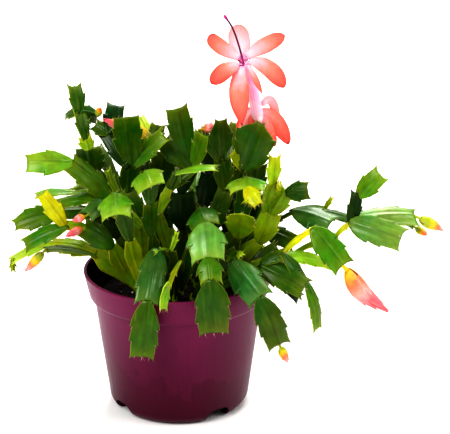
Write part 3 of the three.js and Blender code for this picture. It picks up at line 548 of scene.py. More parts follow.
def footShell(base, sides=10):  # the round buried end of a stem, from rings of (height, radius)
    angles = np.arange(sides) / sides * 2 * math.pi
    points = [base + np.array((radius * math.cos(a), radius * math.sin(a), up))
              for up, radius in footRings for a in angles]
    faces = []
    for ring in range(len(footRings) - 1):
        for side in range(sides):
            low, high = ring * sides + side, ring * sides + (side + 1) % sides
            faces.append([low, high, high + sides, low + sides])
    return np.array(points), faces


# Tones of the living skin, from the old joints to the new shoots, each with its margin colour. The shade tone
# is painted shade: a darker green for joints deep inside and behind the plant, where little light reaches.
tones = {
    "shade": ("#1d3f06", "#43590e"), "deep": ("#3c5c0a", "#94962a"), "leaf": ("#4c740c", "#a4a430"),
    "mid": ("#5c8614", "#a3ae34"), "bright": ("#749a2a", "#b0be4a"), "lime": ("#9cbb34", "#c6d050"),
    "young": ("#93a80c", "#cfc03a"), "olive": ("#8aa012", "#b0a430"), "yellow": ("#bcc00c", "#c8a824"),
    "blue": ("#3f6726", "#86a04c"), "fresh": ("#688c3c", "#a8b54a"),
}
glossyTones = ("blue", "fresh")
skinSurface = {
    "tint": 0.14, "streakMm": 2.2, "streak": 0.12, "paleStreak": 0.12, "mottleMm": 6, "mottle": 0.16,
    "patchMm": 22, "patch": 0.03, "rib": 0.2, "ribGrooveShadeTone": "#5a6a30", "tipPale": 0.3,
    "freckleMm": 2.3, "freckle": 0.16, "rimMm": 0.6, "rim": 0.85,
    "cellMm": 1.1, "bumpMm": 0.035, "mottleBump": 3.0, "streakBump": 4.0,
    "roughness": 0.3, "roughnessSwing": 0.14, "ior": 1.4, "specular": 0.34,
    "coat": 0.1, "coatMost": 0.55, "coatRoughness": 0.2, "glow": 0.22, "glowMm": (0.5, 1.0, 0.15),
}


# Phylloclade skin, a waxy cuticle over green flesh: it gives a soft sheen along the ribs, a pale dry
# line on the margins, and light glowing through the thin young joints.
def skinMaterial():
    look = skinSurface
    made, tree, skin = newMaterial("phylloclade_waxy_cuticle")
    tone, rimTone, margin, vein, along, grain, gloss = [
        addNode(tree, "ShaderNodeAttribute", {"attribute_name": name})
        for name in ("skinTone", "rimTone", "marginMm", "vein", "along", "grain", "gloss")
    ]
    spot = addNode(tree, "ShaderNodeTexCoord")
    mottle = addNode(tree, "ShaderNodeTexNoise", {"Scale": perMetre(look["mottleMm"]), "Detail": 5.0},
                     {"Vector": spot.outputs["Object"]})
    patch = addNode(tree, "ShaderNodeTexNoise", {"Scale": perMetre(look["patchMm"]), "Detail": 2.0},
                    {"Vector": spot.outputs["Object"]})
    blotch = addNode(tree, "ShaderNodeMapRange", {
        **mostNoise, "To Min": 1 - look["mottle"], "To Max": 1 + look["mottle"],
    }, {"Value": mottle.outputs["Fac"]})
    # Fine lines run the length of each joint, in the joint's own millimetres.
    streak = addNode(tree, "ShaderNodeTexNoise", {
        "Scale": 1 / look["streakMm"], "Detail": 4.0, "Roughness": 0.6,
    }, {"Vector": grain.outputs["Vector"]})
    lined = addNode(tree, "ShaderNodeMapRange", {
        **mostNoise, "To Min": 1 - look["streak"], "To Max": 1 + look["streak"],
    }, {"Value": streak.outputs["Fac"]})
    value = addNode(tree, "ShaderNodeMath", {"operation": "MULTIPLY"},
                    {0: blotch.outputs["Result"], 1: lined.outputs["Result"]})
    hue = addNode(tree, "ShaderNodeMapRange", {
        **mostNoise, "To Min": 0.5 - look["patch"], "To Max": 0.5 + look["patch"],
    }, {"Value": patch.outputs["Fac"]})
    mottled = addNode(tree, "ShaderNodeHueSaturation", links={
        "Color": tone.outputs["Color"], "Value": value.outputs["Value"], "Hue": hue.outputs["Result"],
    })
    pale = addNode(tree, "ShaderNodeMapRange", {
        "From Min": 0.56, "From Max": 0.7, "To Max": look["paleStreak"],
    }, {"Value": streak.outputs["Fac"]})
    streaked = addNode(tree, "ShaderNodeMix", {"data_type": "RGBA"},
                       {0: pale.outputs["Result"], 6: mottled.outputs["Color"], 7: rimTone.outputs["Color"]})
    # The ribs are painted a little darker than the skin between them: painted shade, for the dark line of the
    # groove along the midrib and veins.
    ribbed = addNode(tree, "ShaderNodeMapRange", {"To Min": 0.0, "To Max": look["rib"]},
                     {"Value": vein.outputs["Fac"]})
    dark = addNode(tree, "ShaderNodeMix", {
        "data_type": "RGBA", "blend_type": "MULTIPLY", 7: linear(look["ribGrooveShadeTone"]),
    }, {0: ribbed.outputs["Result"], 6: streaked.outputs[2]})
    # Each joint is paler towards the tip it last grew from.
    tip = addNode(tree, "ShaderNodeMapRange", {
        "From Min": 0.72, "From Max": 1.05, "To Max": look["tipPale"],
    }, {"Value": along.outputs["Fac"]})
    paler = addNode(tree, "ShaderNodeMix", {"data_type": "RGBA"},
                    {0: tip.outputs["Result"], 6: dark.outputs[2], 7: rimTone.outputs["Color"]})
    # Small pale freckles, drawn larger than the real breathing pores so that they show.
    freckle = addNode(tree, "ShaderNodeTexVoronoi", {"Scale": perMetre(look["freckleMm"])},
                      {"Vector": spot.outputs["Object"]})
    dots = addNode(tree, "ShaderNodeMapRange", {
        "From Min": 0.05, "From Max": 0.16, "To Min": look["freckle"], "To Max": 0.0,
    }, {"Value": freckle.outputs["Distance"]})
    dotted = addNode(tree, "ShaderNodeMix", {"data_type": "RGBA"},
                     {0: dots.outputs["Result"], 6: paler.outputs[2], 7: rimTone.outputs["Color"]})
    # The margin is edged in its own tone.
    rim = addNode(tree, "ShaderNodeMapRange", {
        "interpolation_type": "SMOOTHSTEP", "From Min": 0.0, "From Max": look["rimMm"],
        "To Min": look["rim"], "To Max": 0.0,
    }, {"Value": margin.outputs["Fac"]})
    edged = addNode(tree, "ShaderNodeMix", {"data_type": "RGBA"},
                    {0: rim.outputs["Result"], 6: dotted.outputs[2], 7: rimTone.outputs["Color"]})
    tree.links.new(edged.outputs[2], skin.inputs["Base Color"])
    rough = addNode(tree, "ShaderNodeMapRange", {
        "To Min": look["roughness"] - look["roughnessSwing"] / 2,
        "To Max": look["roughness"] + look["roughnessSwing"] / 2,
    }, {"Value": mottle.outputs["Fac"]})
    tree.links.new(rough.outputs["Result"], skin.inputs["Roughness"])
    cells = addNode(tree, "ShaderNodeTexNoise", {"Scale": perMetre(look["cellMm"]), "Detail": 3.0},
                    {"Vector": spot.outputs["Object"]})
    swell = addNode(tree, "ShaderNodeMath", {"operation": "MULTIPLY_ADD", 1: look["mottleBump"]},
                    {0: mottle.outputs["Fac"], 2: cells.outputs["Fac"]})
    height = addNode(tree, "ShaderNodeMath", {"operation": "MULTIPLY_ADD", 1: look["streakBump"]},
                     {0: streak.outputs["Fac"], 2: swell.outputs["Value"]})
    bump = addNode(tree, "ShaderNodeBump", {"Strength": 0.8, "Distance": look["bumpMm"] * mm},
                   {"Height": height.outputs["Value"]})
    tree.links.new(bump.outputs["Normal"], skin.inputs["Normal"])
    # The plump young joints in front shine more, in specks.
    specks = addNode(tree, "ShaderNodeMapRange", {
        "From Min": 0.4, "From Max": 0.6, "To Min": 0.2, "To Max": 1.0,
    }, {"Value": cells.outputs["Fac"]})
    shine = addNode(tree, "ShaderNodeMath", {"operation": "MULTIPLY"},
                    {0: gloss.outputs["Fac"], 1: specks.outputs["Result"]})
    coat = addNode(tree, "ShaderNodeMapRange", {"To Min": look["coat"], "To Max": look["coatMost"]},
                   {"Value": shine.outputs["Value"]})
    tree.links.new(coat.outputs["Result"], skin.inputs["Coat Weight"])
    setConstants(skin, look)
    return made


bristle = {
    "radiusMm": 0.17, "lengthMm": 3.4, "rootMm": 0.3, "spread": 0.9, "corners": (0, 2.094, 4.189),
    "tones": ("#8d7448", "#e6dcae"), "grainMm": 1.5, "roughness": 0.6,
}


# Areole bristles, dry and hollow: pale straw that catches the light at the tips of the joints.
def bristleMaterial():
    made, tree, straw = newMaterial("areole_bristle_dry")
    spot = addNode(tree, "ShaderNodeTexCoord")
    grain = addNode(tree, "ShaderNodeTexNoise", {"Scale": perMetre(bristle["grainMm"]), "Detail": 3.0},
                    {"Vector": spot.outputs["Object"]})
    dark, light = bristle["tones"]
    ramp = addNode(tree, "ShaderNodeValToRGB", {"stops": [(0.3, dark), (0.7, light)]},
                   {"Fac": grain.outputs["Fac"]})
    tree.links.new(ramp.outputs["Color"], straw.inputs["Base Color"])
    setConstants(straw, bristle)
    return made


# A tuft of bristles as slim three-sided spikes.
def bristleTuft(base, direction, count, seed):
    points = []
    faces = []
    for number in range(count):
        drift = np.array([draw(seed + number * 3.1 + axis * 0.7) - 0.5 for axis in range(3)])
        along = unit(unit(direction) + drift * bristle["spread"])
        aside = unit(np.cross(along, (0.3, 0.5, 0.81)))
        over = np.cross(along, aside)
        length = bristle["lengthMm"] * (0.5 + 0.8 * draw(seed + number * 1.7))
        start = len(points)
        for turn in bristle["corners"]:
            outward = aside * math.cos(turn) + over * math.sin(turn)
            points.append(base - along * bristle["rootMm"] + bristle["radiusMm"] * outward)
        points.append(base + along * length)
        faces += [[start, start + 1, start + 3], [start + 1, start + 2, start + 3],
                  [start + 2, start, start + 3], [start + 2, start + 1, start]]
    return points, faces


def shellOf(stem, number, index, tips):
    joint = stem["joints"][index]
    parent, turn = joint[0], joint[5]
    towards = stem.get("facing", toEye)
    base = footOf(stem["root"])
    seed = number * 31 + index
    tip = tips[index]
    if parent < 0:  # grows from the foot, and any but the first from a little lower
        return jointShell(base, tip, joint, seed, towards, -blade["sink"] / 2 if index else blade["footGap"])
    grownAt = base if stem["joints"][parent][0] < 0 else tips[stem["joints"][parent][0]]
    parentAxis, _, parentAcross = facingOf(grownAt, tips[parent], stem["joints"][parent][5], towards)
    axis, _, across = facingOf(tips[parent], tip, turn, towards)
    siblings = [at for at, other in enumerate(stem["joints"]) if other[0] == parent]

    def straight(at):
        itsAxis, _, itsAcross = facingOf(tips[parent], tips[at], stem["joints"][at][5], towards)
        return np.dot(parentAcross, itsAcross) > 0.6 and np.dot(parentAxis, itsAxis) > 0.2

    onwards = [at for at in siblings if straight(at)]
    if onwards and onwards[0] == index:  # grows on from the middle of the tip
        return jointShell(tips[parent], tip, joint, seed, towards, -blade["sinkStraight"])
    side = 1 if np.dot(parentAcross, axis) >= 0 else -1
    start = tips[parent] + parentAcross * side * blade["forkOut"] * stem["joints"][parent][4]
    start = start - parentAxis * blade["forkBack"]
    return jointShell(start, tip, joint, seed, towards, -blade["sink"])


def buildStem(name, stem, number, skin, straw):
    tips = tipsOf(stem)
    points = []
    faces = []
    plain = {"along": 0.3, "across": 0.0, "vein": 0.0, "marginMm": 5.0, "grain": np.zeros(3)}
    values = {key: [] for key in (*plain, "skinTone", "rimTone", "gloss")}
    tufts = []

    def add(shell, itsFaces, toneName, seed, grids=None):
        joinShell(points, faces, shell, itsFaces)
        tint = 1 + skinSurface["tint"] * (2 * draw(seed + 0.9) - 1)
        for key, colour in zip(("skinTone", "rimTone"), tones[toneName]):
            shade = np.array(linear(colour)) * (tint, tint, tint, 1)
            values[key].append(np.tile(shade, (len(shell), 1)))
        values["gloss"].append(np.full(len(shell), 1.0 if toneName in glossyTones else 0.0))
        for key, value in plain.items():
            blank = np.broadcast_to(value, (len(shell),) + np.shape(value))
            values[key].append(bothFaces(grids[key]) if grids else blank)

    shell, itsFaces = footShell(footOf(stem["root"]))
    add(shell, itsFaces, "olive", number)
    for index, joint in enumerate(stem["joints"]):
        shell, rows, grids, hairs = shellOf(stem, number, index, tips)
        add(shell, bladeFaces(rows, len(columns)), joint[6], number * 31 + index, grids)
        tufts += [(*hair, number * 31 + index + at * 0.13) for at, hair in enumerate(hairs)]
    firstBristle = len(faces)
    for base, direction, count, seed in tufts:
        spikes, itsFaces = bristleTuft(base, direction, count, seed)
        add(np.array(spikes), itsFaces, "yellow", seed)
    merged = {key: np.concatenate(parts) for key, parts in values.items()}
    piece = addMesh(name + "_skin", np.vstack(points), faces, [(skin, 0), (straw, firstBristle)], merged)
    settle(piece, "leaf", name)


skin = skinMaterial()
straw = bristleMaterial()
allStems = dict(stems)
for index in range(back["count"]):
    allStems[f"stem_back_{index + 1}"] = backStem(index)
for number, (name, stem) in enumerate(allStems.items()):
    buildStem(name, stem, number, skin, straw)
print("stems:", len(allStems))


# The tube is (across, up, depth, radius), the style and the stamens (across, up, depth).
flower = {
    "tube": [(24.1, 65.5, -28, 1.4), (22.3, 70.9, -20, 3.9), (18, 92, -19, 4), (12.8, 105.4, -24, 4.2)],
    # Petals: (base, bend, tip, width, point, blush, curl), the three places as on the layout sheet, and
    # the end from blunt, 0, to pointed, 1.
    "star": [
        ((13, 107.5, -22), (9, 120, -14), (9.3, 132.6, -8), 14.5, 0.1, 0.42, 0.2),
        ((10.3, 109.6, -24), (-4, 117, -22), (-11.2, 125, -26), 10.2, 0.1, 0.75, 0.2),
        ((9.6, 105.4, -27), (0, 104, -38), (-9, 91.5, -40), 11.2, 0.1, 0.95, 0.9),
        ((11.2, 104.5, -27), (8, 88, -42), (11.8, 63.2, -36), 13.6, 1, 0.85, 0.4),
        ((15.5, 105, -27), (20.5, 97, -36), (25.6, 84.6, -38), 4.4, 1, 0.8, 0.9),
        ((16.2, 107.8, -25), (32, 107.2, -32), (40.6, 89, -38), 11.6, 0.2, 0.85, 0.2),
        ((14.1, 110.4, -23), (27, 119.6, -20), (41.4, 124.8, -24), 11, 0.4, 0.72, 0.3),
        ((12.8, 108.5, -20), (15.8, 117.8, -4), (18.6, 110.9, 6), 10.3, 0.3, 0.7, 0.4),
    ],
    "skirt": [
        ((20, 75.1, -17), (10.3, 72.3, -12), (8.3, 54.4, -6), 5.5, 0.5, 1.2, 0.4),
        ((20, 73.5, -18), (12, 68.2, -18), (12, 50, -14), 8.3, 0.3, 0.6, 0.3),
        ((22.7, 72.5, -17), (34.5, 94, -10), (37.5, 58, -8), 6.5, 0.1, 0.5, 0.3),
        ((22.4, 71.5, -16), (35, 73, -13), (43.4, 50, -19), 12, 0.4, 0.92, 0.9),
        ((21.3, 73, -15), (25.5, 75.1, 4), (22.7, 57.2, 10), 6.9, 0.5, 0.8, 0.4),
        ((22, 71.5, -16), (29.4, 64, -18), (34.3, 48.6, -23), 8.6, 0.5, 0.8, 0.7),
        ((21, 72, -18), (18.6, 69, -20), (18.6, 57, -19), 7, 0.3, 0.9, 0.6),
    ],
    "petalMm": 0.8, "lift": 0.12, "curl": 0.16, "wave": 0.03, "crease": 0.02, "rows": 30,
    "style": [(13.1, 105, -24.5), (9, 119.8, -30), (4.8, 130.8, -33), (-0.7, 139.1, -36)],
    "stamens": [(9, 108.1, -32), (10, 104, -33)],
    "styleRadii": (0.62, 1.0), "stamenRadii": (0.4, 0.75),  # of the thread and of its head
}
# Share along a petal, its width there as a share of its widest, and how much of that a point takes.
petalShape = (
    (0, 0.42, 0), (0.15, 0.64, 0), (0.3, 0.84, 0), (0.45, 0.96, 0), (0.6, 1, 0.04), (0.74, 0.97, 0.16),
    (0.85, 0.86, 0.3), (0.93, 0.66, 0.36), (0.975, 0.42, 0.3), (1, 0.1, 0.06),
)
petalColumns = np.array((-1, -0.93, -0.8, -0.62, -0.42, -0.2, 0, 0.2, 0.42, 0.62, 0.8, 0.93, 1))
looksOut = np.array((0, -0.85, 0.5))  # the way the flat faces of the petals look


def petalShell(base, bend, tip, width, point, curl, seed):
    low, middle, high = (place(*at) for at in (base, bend, tip))
    sideways = unit(np.cross(looksOut, high - low))
    share = np.linspace(0, 1, flower["rows"])
    shares, full, taken = np.array(petalShape).T
    half = np.interp(share, shares, full - taken * point) * width / 2
    grid = []
    normals = []
    for t, reach in zip(share, half):
        spot = (1 - t) ** 2 * low + 2 * t * (1 - t) * middle + t * t * high
        along = unit(2 * (1 - t) * (middle - low) + 2 * t * (high - middle))
        wide = unit(sideways - along * np.dot(sideways, along))
        normal = np.cross(wide, along)
        cup = flower["lift"] * width * (reach * 2 / width) * np.abs(petalColumns) ** 1.6
        roll = curl * width * flower["curl"] * ease((t - 0.55) / 0.45) * petalColumns ** 2
        swell = np.sin(t * 14 + petalColumns * 2 + draw(seed) * 6)
        wave = flower["wave"] * width * swell * petalColumns ** 2
        crease = flower["crease"] * width * np.exp(-(petalColumns / 0.14) ** 2)
        lift = cup - roll + wave - crease
        grid.append(spot + wide * (petalColumns * reach)[:, None] + normal * lift[:, None])
        normals.append(np.tile(normal, (len(petalColumns), 1)))
    edge = np.sqrt(1 - np.clip((np.abs(petalColumns) - 0.7) / 0.3, 0, 1) ** 2)[None, :]
    ends = np.sqrt(1 - np.clip((share - 0.9) / 0.1, 0, 1) ** 2)[:, None]
    offset = np.array(normals) * (edge * ends * flower["petalMm"] / 2)[..., None]
    along = np.tile(share[:, None], (1, len(petalColumns)))
    across = np.tile(petalColumns, (len(share), 1))
    return bladePoints(np.array(grid), offset), along, across


petalSurface = {
    "throatTintAndShade": "#f0a8d8", "white": "#f6cbd2", "pink": "#f8a8ac", "coral": "#fa8270", "red": "#f0584a",
    "tip": "#7c2436", "edge": 0.22, "blotchMm": 5, "blotch": 0.35, "veins": 34.0, "bumpMm": 0.12,
    "roughness": 0.42, "ior": 1.38, "sheen": 0.15, "glow": 0.35, "glowMm": (1.2, 0.5, 0.4),
}


# Living petal, thin cells under a satin bloom: white at the throat, coral out to the tips, with fine
# lines running its length and light coming through.
def petalMaterial():
    look = petalSurface
    made, tree, petal = newMaterial("petal_satin_cells")
    along, across, blush = [addNode(tree, "ShaderNodeAttribute", {"attribute_name": name})
                            for name in ("along", "across", "blush")]
    spot = addNode(tree, "ShaderNodeTexCoord")
    blotch = addNode(tree, "ShaderNodeTexNoise", {"Scale": perMetre(look["blotchMm"]), "Detail": 3.0},
                     {"Vector": spot.outputs["Object"]})
    # How coral each place is: more towards the tip and the margins, and more on a blushed petal.
    size = addNode(tree, "ShaderNodeMath", {"operation": "ABSOLUTE"}, {0: across.outputs["Fac"]})
    side = addNode(tree, "ShaderNodeMath", {"operation": "POWER", 1: 2.0}, {0: size.outputs["Value"]})
    spread = addNode(tree, "ShaderNodeMath", {"operation": "MULTIPLY_ADD", 1: look["edge"]},
                     {0: side.outputs["Value"], 2: along.outputs["Fac"]})
    soft = addNode(tree, "ShaderNodeMath", {"operation": "MULTIPLY_ADD", 1: look["blotch"]},
                   {0: blotch.outputs["Fac"], 2: spread.outputs["Value"]})
    deep = addNode(tree, "ShaderNodeMath", {"operation": "MULTIPLY"},
                   {0: soft.outputs["Value"], 1: blush.outputs["Fac"]})
    # At the throat the petals are lilac: partly their own tint, partly painted shade down in the throat.
    ramp = addNode(tree, "ShaderNodeValToRGB", {"stops": [
        (0.09, look["throatTintAndShade"]), (0.2, look["white"]), (0.38, look["pink"]), (0.62, look["coral"]),
        (1.0, look["red"]),
    ]}, {"Fac": deep.outputs["Value"]})
    phase = addNode(tree, "ShaderNodeMath", {"operation": "MULTIPLY", 1: look["veins"]},
                    {0: across.outputs["Fac"]})
    lines = addNode(tree, "ShaderNodeMath", {"operation": "SINE"}, {0: phase.outputs["Value"]})
    lined = addNode(tree, "ShaderNodeMapRange", {
        "From Min": -1.0, "From Max": 1.0, "To Min": 0.93, "To Max": 1.04,
    }, {"Value": lines.outputs["Value"]})
    veined = addNode(tree, "ShaderNodeHueSaturation", links={
        "Color": ramp.outputs["Color"], "Value": lined.outputs["Result"],
    })
    dried = addNode(tree, "ShaderNodeMapRange", {"From Min": 0.955, "From Max": 1.0, "To Max": 0.85},
                    {"Value": along.outputs["Fac"]})
    tipped = addNode(tree, "ShaderNodeMix", {"data_type": "RGBA", 7: linear(look["tip"])},
                     {0: dried.outputs["Result"], 6: veined.outputs["Color"]})
    tree.links.new(tipped.outputs[2], petal.inputs["Base Color"])
    bump = addNode(tree, "ShaderNodeBump", {"Strength": 0.5, "Distance": look["bumpMm"] * mm},
                   {"Height": lines.outputs["Value"]})
    tree.links.new(bump.outputs["Normal"], petal.inputs["Normal"])
    setConstants(petal, look)
    return made


def ringTube(path, radii, sides=18):  # a closed round body along a path
    path = np.array(path)
    points = []
    faces = []
    for at, (centre, radius) in enumerate(zip(path, radii)):
        axis = unit(path[min(at + 1, len(path) - 1)] - path[max(at - 1, 0)])
        aside = unit(np.array((1, 0, 0)) - axis * axis[0])
        over = np.cross(axis, aside)
        for side in range(sides):
            angle = 2 * math.pi * side / sides
            points.append(centre + radius * (aside * math.cos(angle) + over * math.sin(angle)))
            if at:
                low, high = (at - 1) * sides + side, (at - 1) * sides + (side + 1) % sides
                faces.append([low, high, high + sides, low + sides])
    last = (len(path) - 1) * sides
    faces.append([side for side in reversed(range(sides))])
    faces.append([last + side for side in range(sides)])
    return np.array(points), faces


def smoothPath(points, steps):  # a curve through the points
    points = np.array(points, float)
    padded = np.vstack([2 * points[0] - points[1], points, 2 * points[-1] - points[-2]])
    out = []
    for share in np.linspace(0, len(points) - 1, steps):
        at = min(int(share), len(points) - 2)
        t = share - at
        a, b, c, d = padded[at:at + 4]
        out.append(0.5 * (2 * b + (c - a) * t + (2 * a - 5 * b + 4 * c - d) * t * t
                          + (3 * b - a - 3 * c + d) * t ** 3))
    return np.array(out)


def buildFlower():
    petals = petalMaterial()
    points = []
    faces = []
    values = {"along": [], "across": [], "blush": []}

    def add(shell, itsFaces, along, across, blush):
        joinShell(points, faces, shell, itsFaces)
        for key, value in (("along", along), ("across", across), ("blush", blush)):
            values[key].append(np.broadcast_to(value, len(shell)))

    for number, (*spots, width, point, blush, curl) in enumerate(flower["star"] + flower["skirt"]):
        shell, along, across = petalShell(*spots, width, point, curl, number)
        add(shell, bladeFaces(*along.shape), bothFaces(along), bothFaces(across), blush)
    steps, sides = 28, 20
    path = smoothPath([place(*at[:3]) for at in flower["tube"]], steps)
    radii = np.interp(np.linspace(0, 3, steps), range(4), [at[3] for at in flower["tube"]])
    shell, itsFaces = ringTube(path, radii, sides)
    rise = np.repeat(np.linspace(0, 1, steps), sides)
    around = np.tile(np.cos(np.arange(sides) / sides * 2 * math.pi), steps)
    add(shell, itsFaces, 0.16 - 0.16 * rise, around * 0.5, 0.6)
    piece = addMesh("flower_petals", np.vstack(points), faces, [(petals, 0)],
                    {key: np.concatenate(parts) for key, parts in values.items()})
    settle(piece, "petal", "flower")


styleSurface = {"dark": "#4a0f3c", "light": "#c02a86", "grainMm": 0.8, "bumpMm": 0.1, "roughness": 0.38}


# Style and stamens, fleshy and tinted through: plum along the thread and magenta at the stigma.
def styleMaterial():
    look = styleSurface
    made, tree, flesh = newMaterial("style_fleshy_thread")
    along = addNode(tree, "ShaderNodeAttribute", {"attribute_name": "along"})
    ramp = addNode(tree, "ShaderNodeValToRGB", {"stops": [
        (0.0, look["light"]), (0.18, look["dark"]), (0.8, look["dark"]), (1.0, look["light"]),
    ]}, {"Fac": along.outputs["Fac"]})
    spot = addNode(tree, "ShaderNodeTexCoord")
    grain = addNode(tree, "ShaderNodeTexNoise", {"Scale": perMetre(look["grainMm"])},
                    {"Vector": spot.outputs["Object"]})
    bump = addNode(tree, "ShaderNodeBump", {"Strength": 0.4, "Distance": look["bumpMm"] * mm},
                   {"Height": grain.outputs["Fac"]})
    tree.links.new(bump.outputs["Normal"], flesh.inputs["Normal"])
    tree.links.new(ramp.outputs["Color"], flesh.inputs["Base Color"])
    setConstants(flesh, look)
    return made


def buildStyle():
    points = []
    faces = []
    alongs = []
    threads = [(flower["style"], 26, flower["styleRadii"], 1)]
    threads += [([flower["style"][0], tip], 10, flower["stamenRadii"], 0.14) for tip in flower["stamens"]]
    for spots, steps, (radius, head), tinted in threads:
        path = smoothPath([place(*at) for at in spots], steps)
        share = np.linspace(0, 1, steps)
        radii = radius + (head - radius) * ease((share - 0.86) / 0.08)
        radii = radii * np.sqrt(1 - np.clip((share - 0.95) / 0.052, 0, 1) ** 2)
        shell, itsFaces = ringTube(path, radii, 10)
        joinShell(points, faces, shell, itsFaces)
        alongs.append(np.repeat(share * tinted, 10))
    piece = addMesh("flower_style_threads", np.vstack(points), faces, [(styleMaterial(), 0)],
                    {"along": np.concatenate(alongs)})
    settle(piece, "style", "flower_style")


buildFlower()
buildStyle()
print("flower")


# A bud stands off the tip of its joint on a neck. Turn and wrap are in radians, and the core is a share of
# the width.
budLook = {
    "stand": 3.3, "core": 0.93, "sides": 16, "neckMm": 0.9, "tepals": 9, "perLayer": 3, "turn": 2.4,
    "wrap": 1.05, "rise": 0.28, "tepalMm": 0.5, "rows": 20,
}
# Share along a bud, and its width there as a share of its widest.
budShape = (
    (0, 0.3), (0.06, 0.55), (0.14, 0.78), (0.26, 0.94), (0.4, 1), (0.58, 0.86), (0.77, 0.58), (0.92, 0.28),
    (1, 0.05),
)
budSurface = {
    "green": "#a8b024", "yellow": "#efbc18", "coral": "#fb7a54", "pink": "#fba39c", "tip": "#ea6a72",
    "lap": "#fff0e6", "lapPale": 0.22, "blotchMm": 2.5, "blotch": 0.3, "bumpMm": 0.15,
    "roughness": 0.4, "ior": 1.4, "glow": 0.3, "glowMm": (1.2, 0.5, 0.3),
}


# Folded tepals of a bud, smooth and taut: green at the foot, then yellow, and coral to a pink tip.
def budMaterial():
    look = budSurface
    made, tree, bud = newMaterial("bud_tepal_taut_skin")
    along, blush, lap = [addNode(tree, "ShaderNodeAttribute", {"attribute_name": name})
                         for name in ("along", "blush", "across")]
    spot = addNode(tree, "ShaderNodeTexCoord")
    blotch = addNode(tree, "ShaderNodeTexNoise", {"Scale": perMetre(look["blotchMm"]), "Detail": 3.0},
                     {"Vector": spot.outputs["Object"]})
    ripe = addNode(tree, "ShaderNodeMath", {"operation": "ADD"},
                   {0: along.outputs["Fac"], 1: blush.outputs["Fac"]})
    shifted = addNode(tree, "ShaderNodeMath", {"operation": "MULTIPLY_ADD", 1: look["blotch"]},
                      {0: blotch.outputs["Fac"], 2: ripe.outputs["Value"]})
    ramp = addNode(tree, "ShaderNodeValToRGB", {"stops": [
        (0.2, look["green"]), (0.38, look["yellow"]), (0.62, look["coral"]), (0.85, look["pink"]),
        (1.0, look["tip"]),
    ]}, {"Fac": shifted.outputs["Value"]})
    paler = addNode(tree, "ShaderNodeMath", {"operation": "MULTIPLY", 1: look["lapPale"]},
                    {0: lap.outputs["Fac"]})
    edged = addNode(tree, "ShaderNodeMix", {"data_type": "RGBA", 7: linear(look["lap"])},
                    {0: paler.outputs["Value"], 6: ramp.outputs["Color"]})
    tree.links.new(edged.outputs[2], bud.inputs["Base Color"])
    bump = addNode(tree, "ShaderNodeBump", {"Strength": 0.3, "Distance": look["bumpMm"] * mm},
                   {"Height": blotch.outputs["Fac"]})
    tree.links.new(bump.outputs["Normal"], bud.inputs["Normal"])
    setConstants(bud, look)
    return made


# A bud is a slim core under tepals that wrap half round it, each lapping the one inside.
def buildBud(name, bud, material, seed):
    start = tipsOf(stems[bud["stem"]])[bud["joint"]]
    end = place(*bud["tip"])
    axis = unit(end - start)
    base = start + axis * budLook["stand"]
    length = np.linalg.norm(end - base)
    aside = unit(np.cross(axis, (0.2, 0.3, 0.9)))
    over = np.cross(axis, aside)
    across = np.linspace(-1, 1, 11)
    rows = budLook["rows"]
    share = np.linspace(0, 1, rows)
    bow = np.array(bud.get("bow", (0, 0, 0)))
    path = [start - axis * 0.5] + [base + axis * length * t + bow * 4 * t * (1 - t) for t in share]
    coreRadii = np.interp(share, *zip(*budShape)) * bud["width"] / 2 * budLook["core"]
    points, faces = ringTube(path, [budLook["neckMm"], *coreRadii], budLook["sides"])
    parts = [points]
    alongs = [np.repeat([0, *share], budLook["sides"])]
    laps = [np.zeros(len(points))]
    for number in range(budLook["tepals"]):
        turn = number * budLook["turn"] + seed
        layer = number // budLook["perLayer"]  # outer tepals round the foot come first
        low = 0.02 + 0.55 * layer / budLook["perLayer"]
        high = min(0.62 + 0.19 * layer + 0.06 * draw(seed + number), 1)
        swell = 1 + 0.05 * (2 - layer)
        grid = []
        normals = []
        for t in share:
            at = low + (high - low) * t
            radius = np.interp(at, *zip(*budShape)) * bud["width"] / 2 * swell
            spread = budLook["wrap"] * math.sin(math.pi * min(t * 0.55 + 0.42, 1)) ** 0.8
            angles = turn + across * spread
            outward = aside * np.cos(angles)[:, None] + over * np.sin(angles)[:, None]
            lift = budLook["rise"] * ease((t - 0.8) / 0.2) * 0.5
            tipPull = 0.06 * length * (1 - np.abs(across)) * ease((t - 0.7) / 0.3)
            centre = base + axis * (at * length + tipPull)[:, None] + bow * 4 * at * (1 - at)
            grid.append(centre + outward * (radius + lift))
            normals.append(outward)
        edge = np.sqrt(1 - np.clip((np.abs(across) - 0.6) / 0.4, 0, 1) ** 2)[None, :]
        half = edge * budLook["tepalMm"] / 2 * np.ones((rows, 1))
        offset = np.array(normals) * half[..., None]
        joinShell(parts, faces, bladePoints(np.array(grid), offset), bladeFaces(rows, len(across)))
        rise = np.tile(np.linspace(low, high, rows)[:, None], (1, len(across)))
        alongs.append(bothFaces(rise))
        laps.append(bothFaces(np.tile(np.abs(across) ** 3, (rows, 1))))
    size = sum(len(part) for part in parts)
    piece = addMesh(name + "_tepals", np.vstack(parts), faces, [(material, 0)], {
        "along": np.concatenate(alongs), "across": np.concatenate(laps), "blush": np.full(size, bud["blush"]),
    })
    settle(piece, "bud", name)


tepals = budMaterial()
for number, (name, bud) in enumerate(buds.items()):
    buildBud(name, bud, tepals, number)
print("buds:", len(buds))


pot = {
    "lipRadius": 65, "height": 98.2, "collarDrop": 18, "collarFootRadius": 61.4, "bodyTopRadius": 58,
    "footRadius": 48.6, "footRound": 9, "wall": 1.7, "channelInner": 27, "channelOuter": 35, "channelRise": 3,
    "drainHoles": 6, "drainRadius": 3, "drainCut": 6,  # a cut is how far it reaches each way
    "slotCount": 4, "slotWidth": 19, "slotHeight": 9.6, "slotTurn": 36, "slotSquareness": 2.9, "slotCut": 14,
    "sides": 192, "arcSteps": 5, "sharpDeg": 32, "innerShadeDrop": 1.5,
}


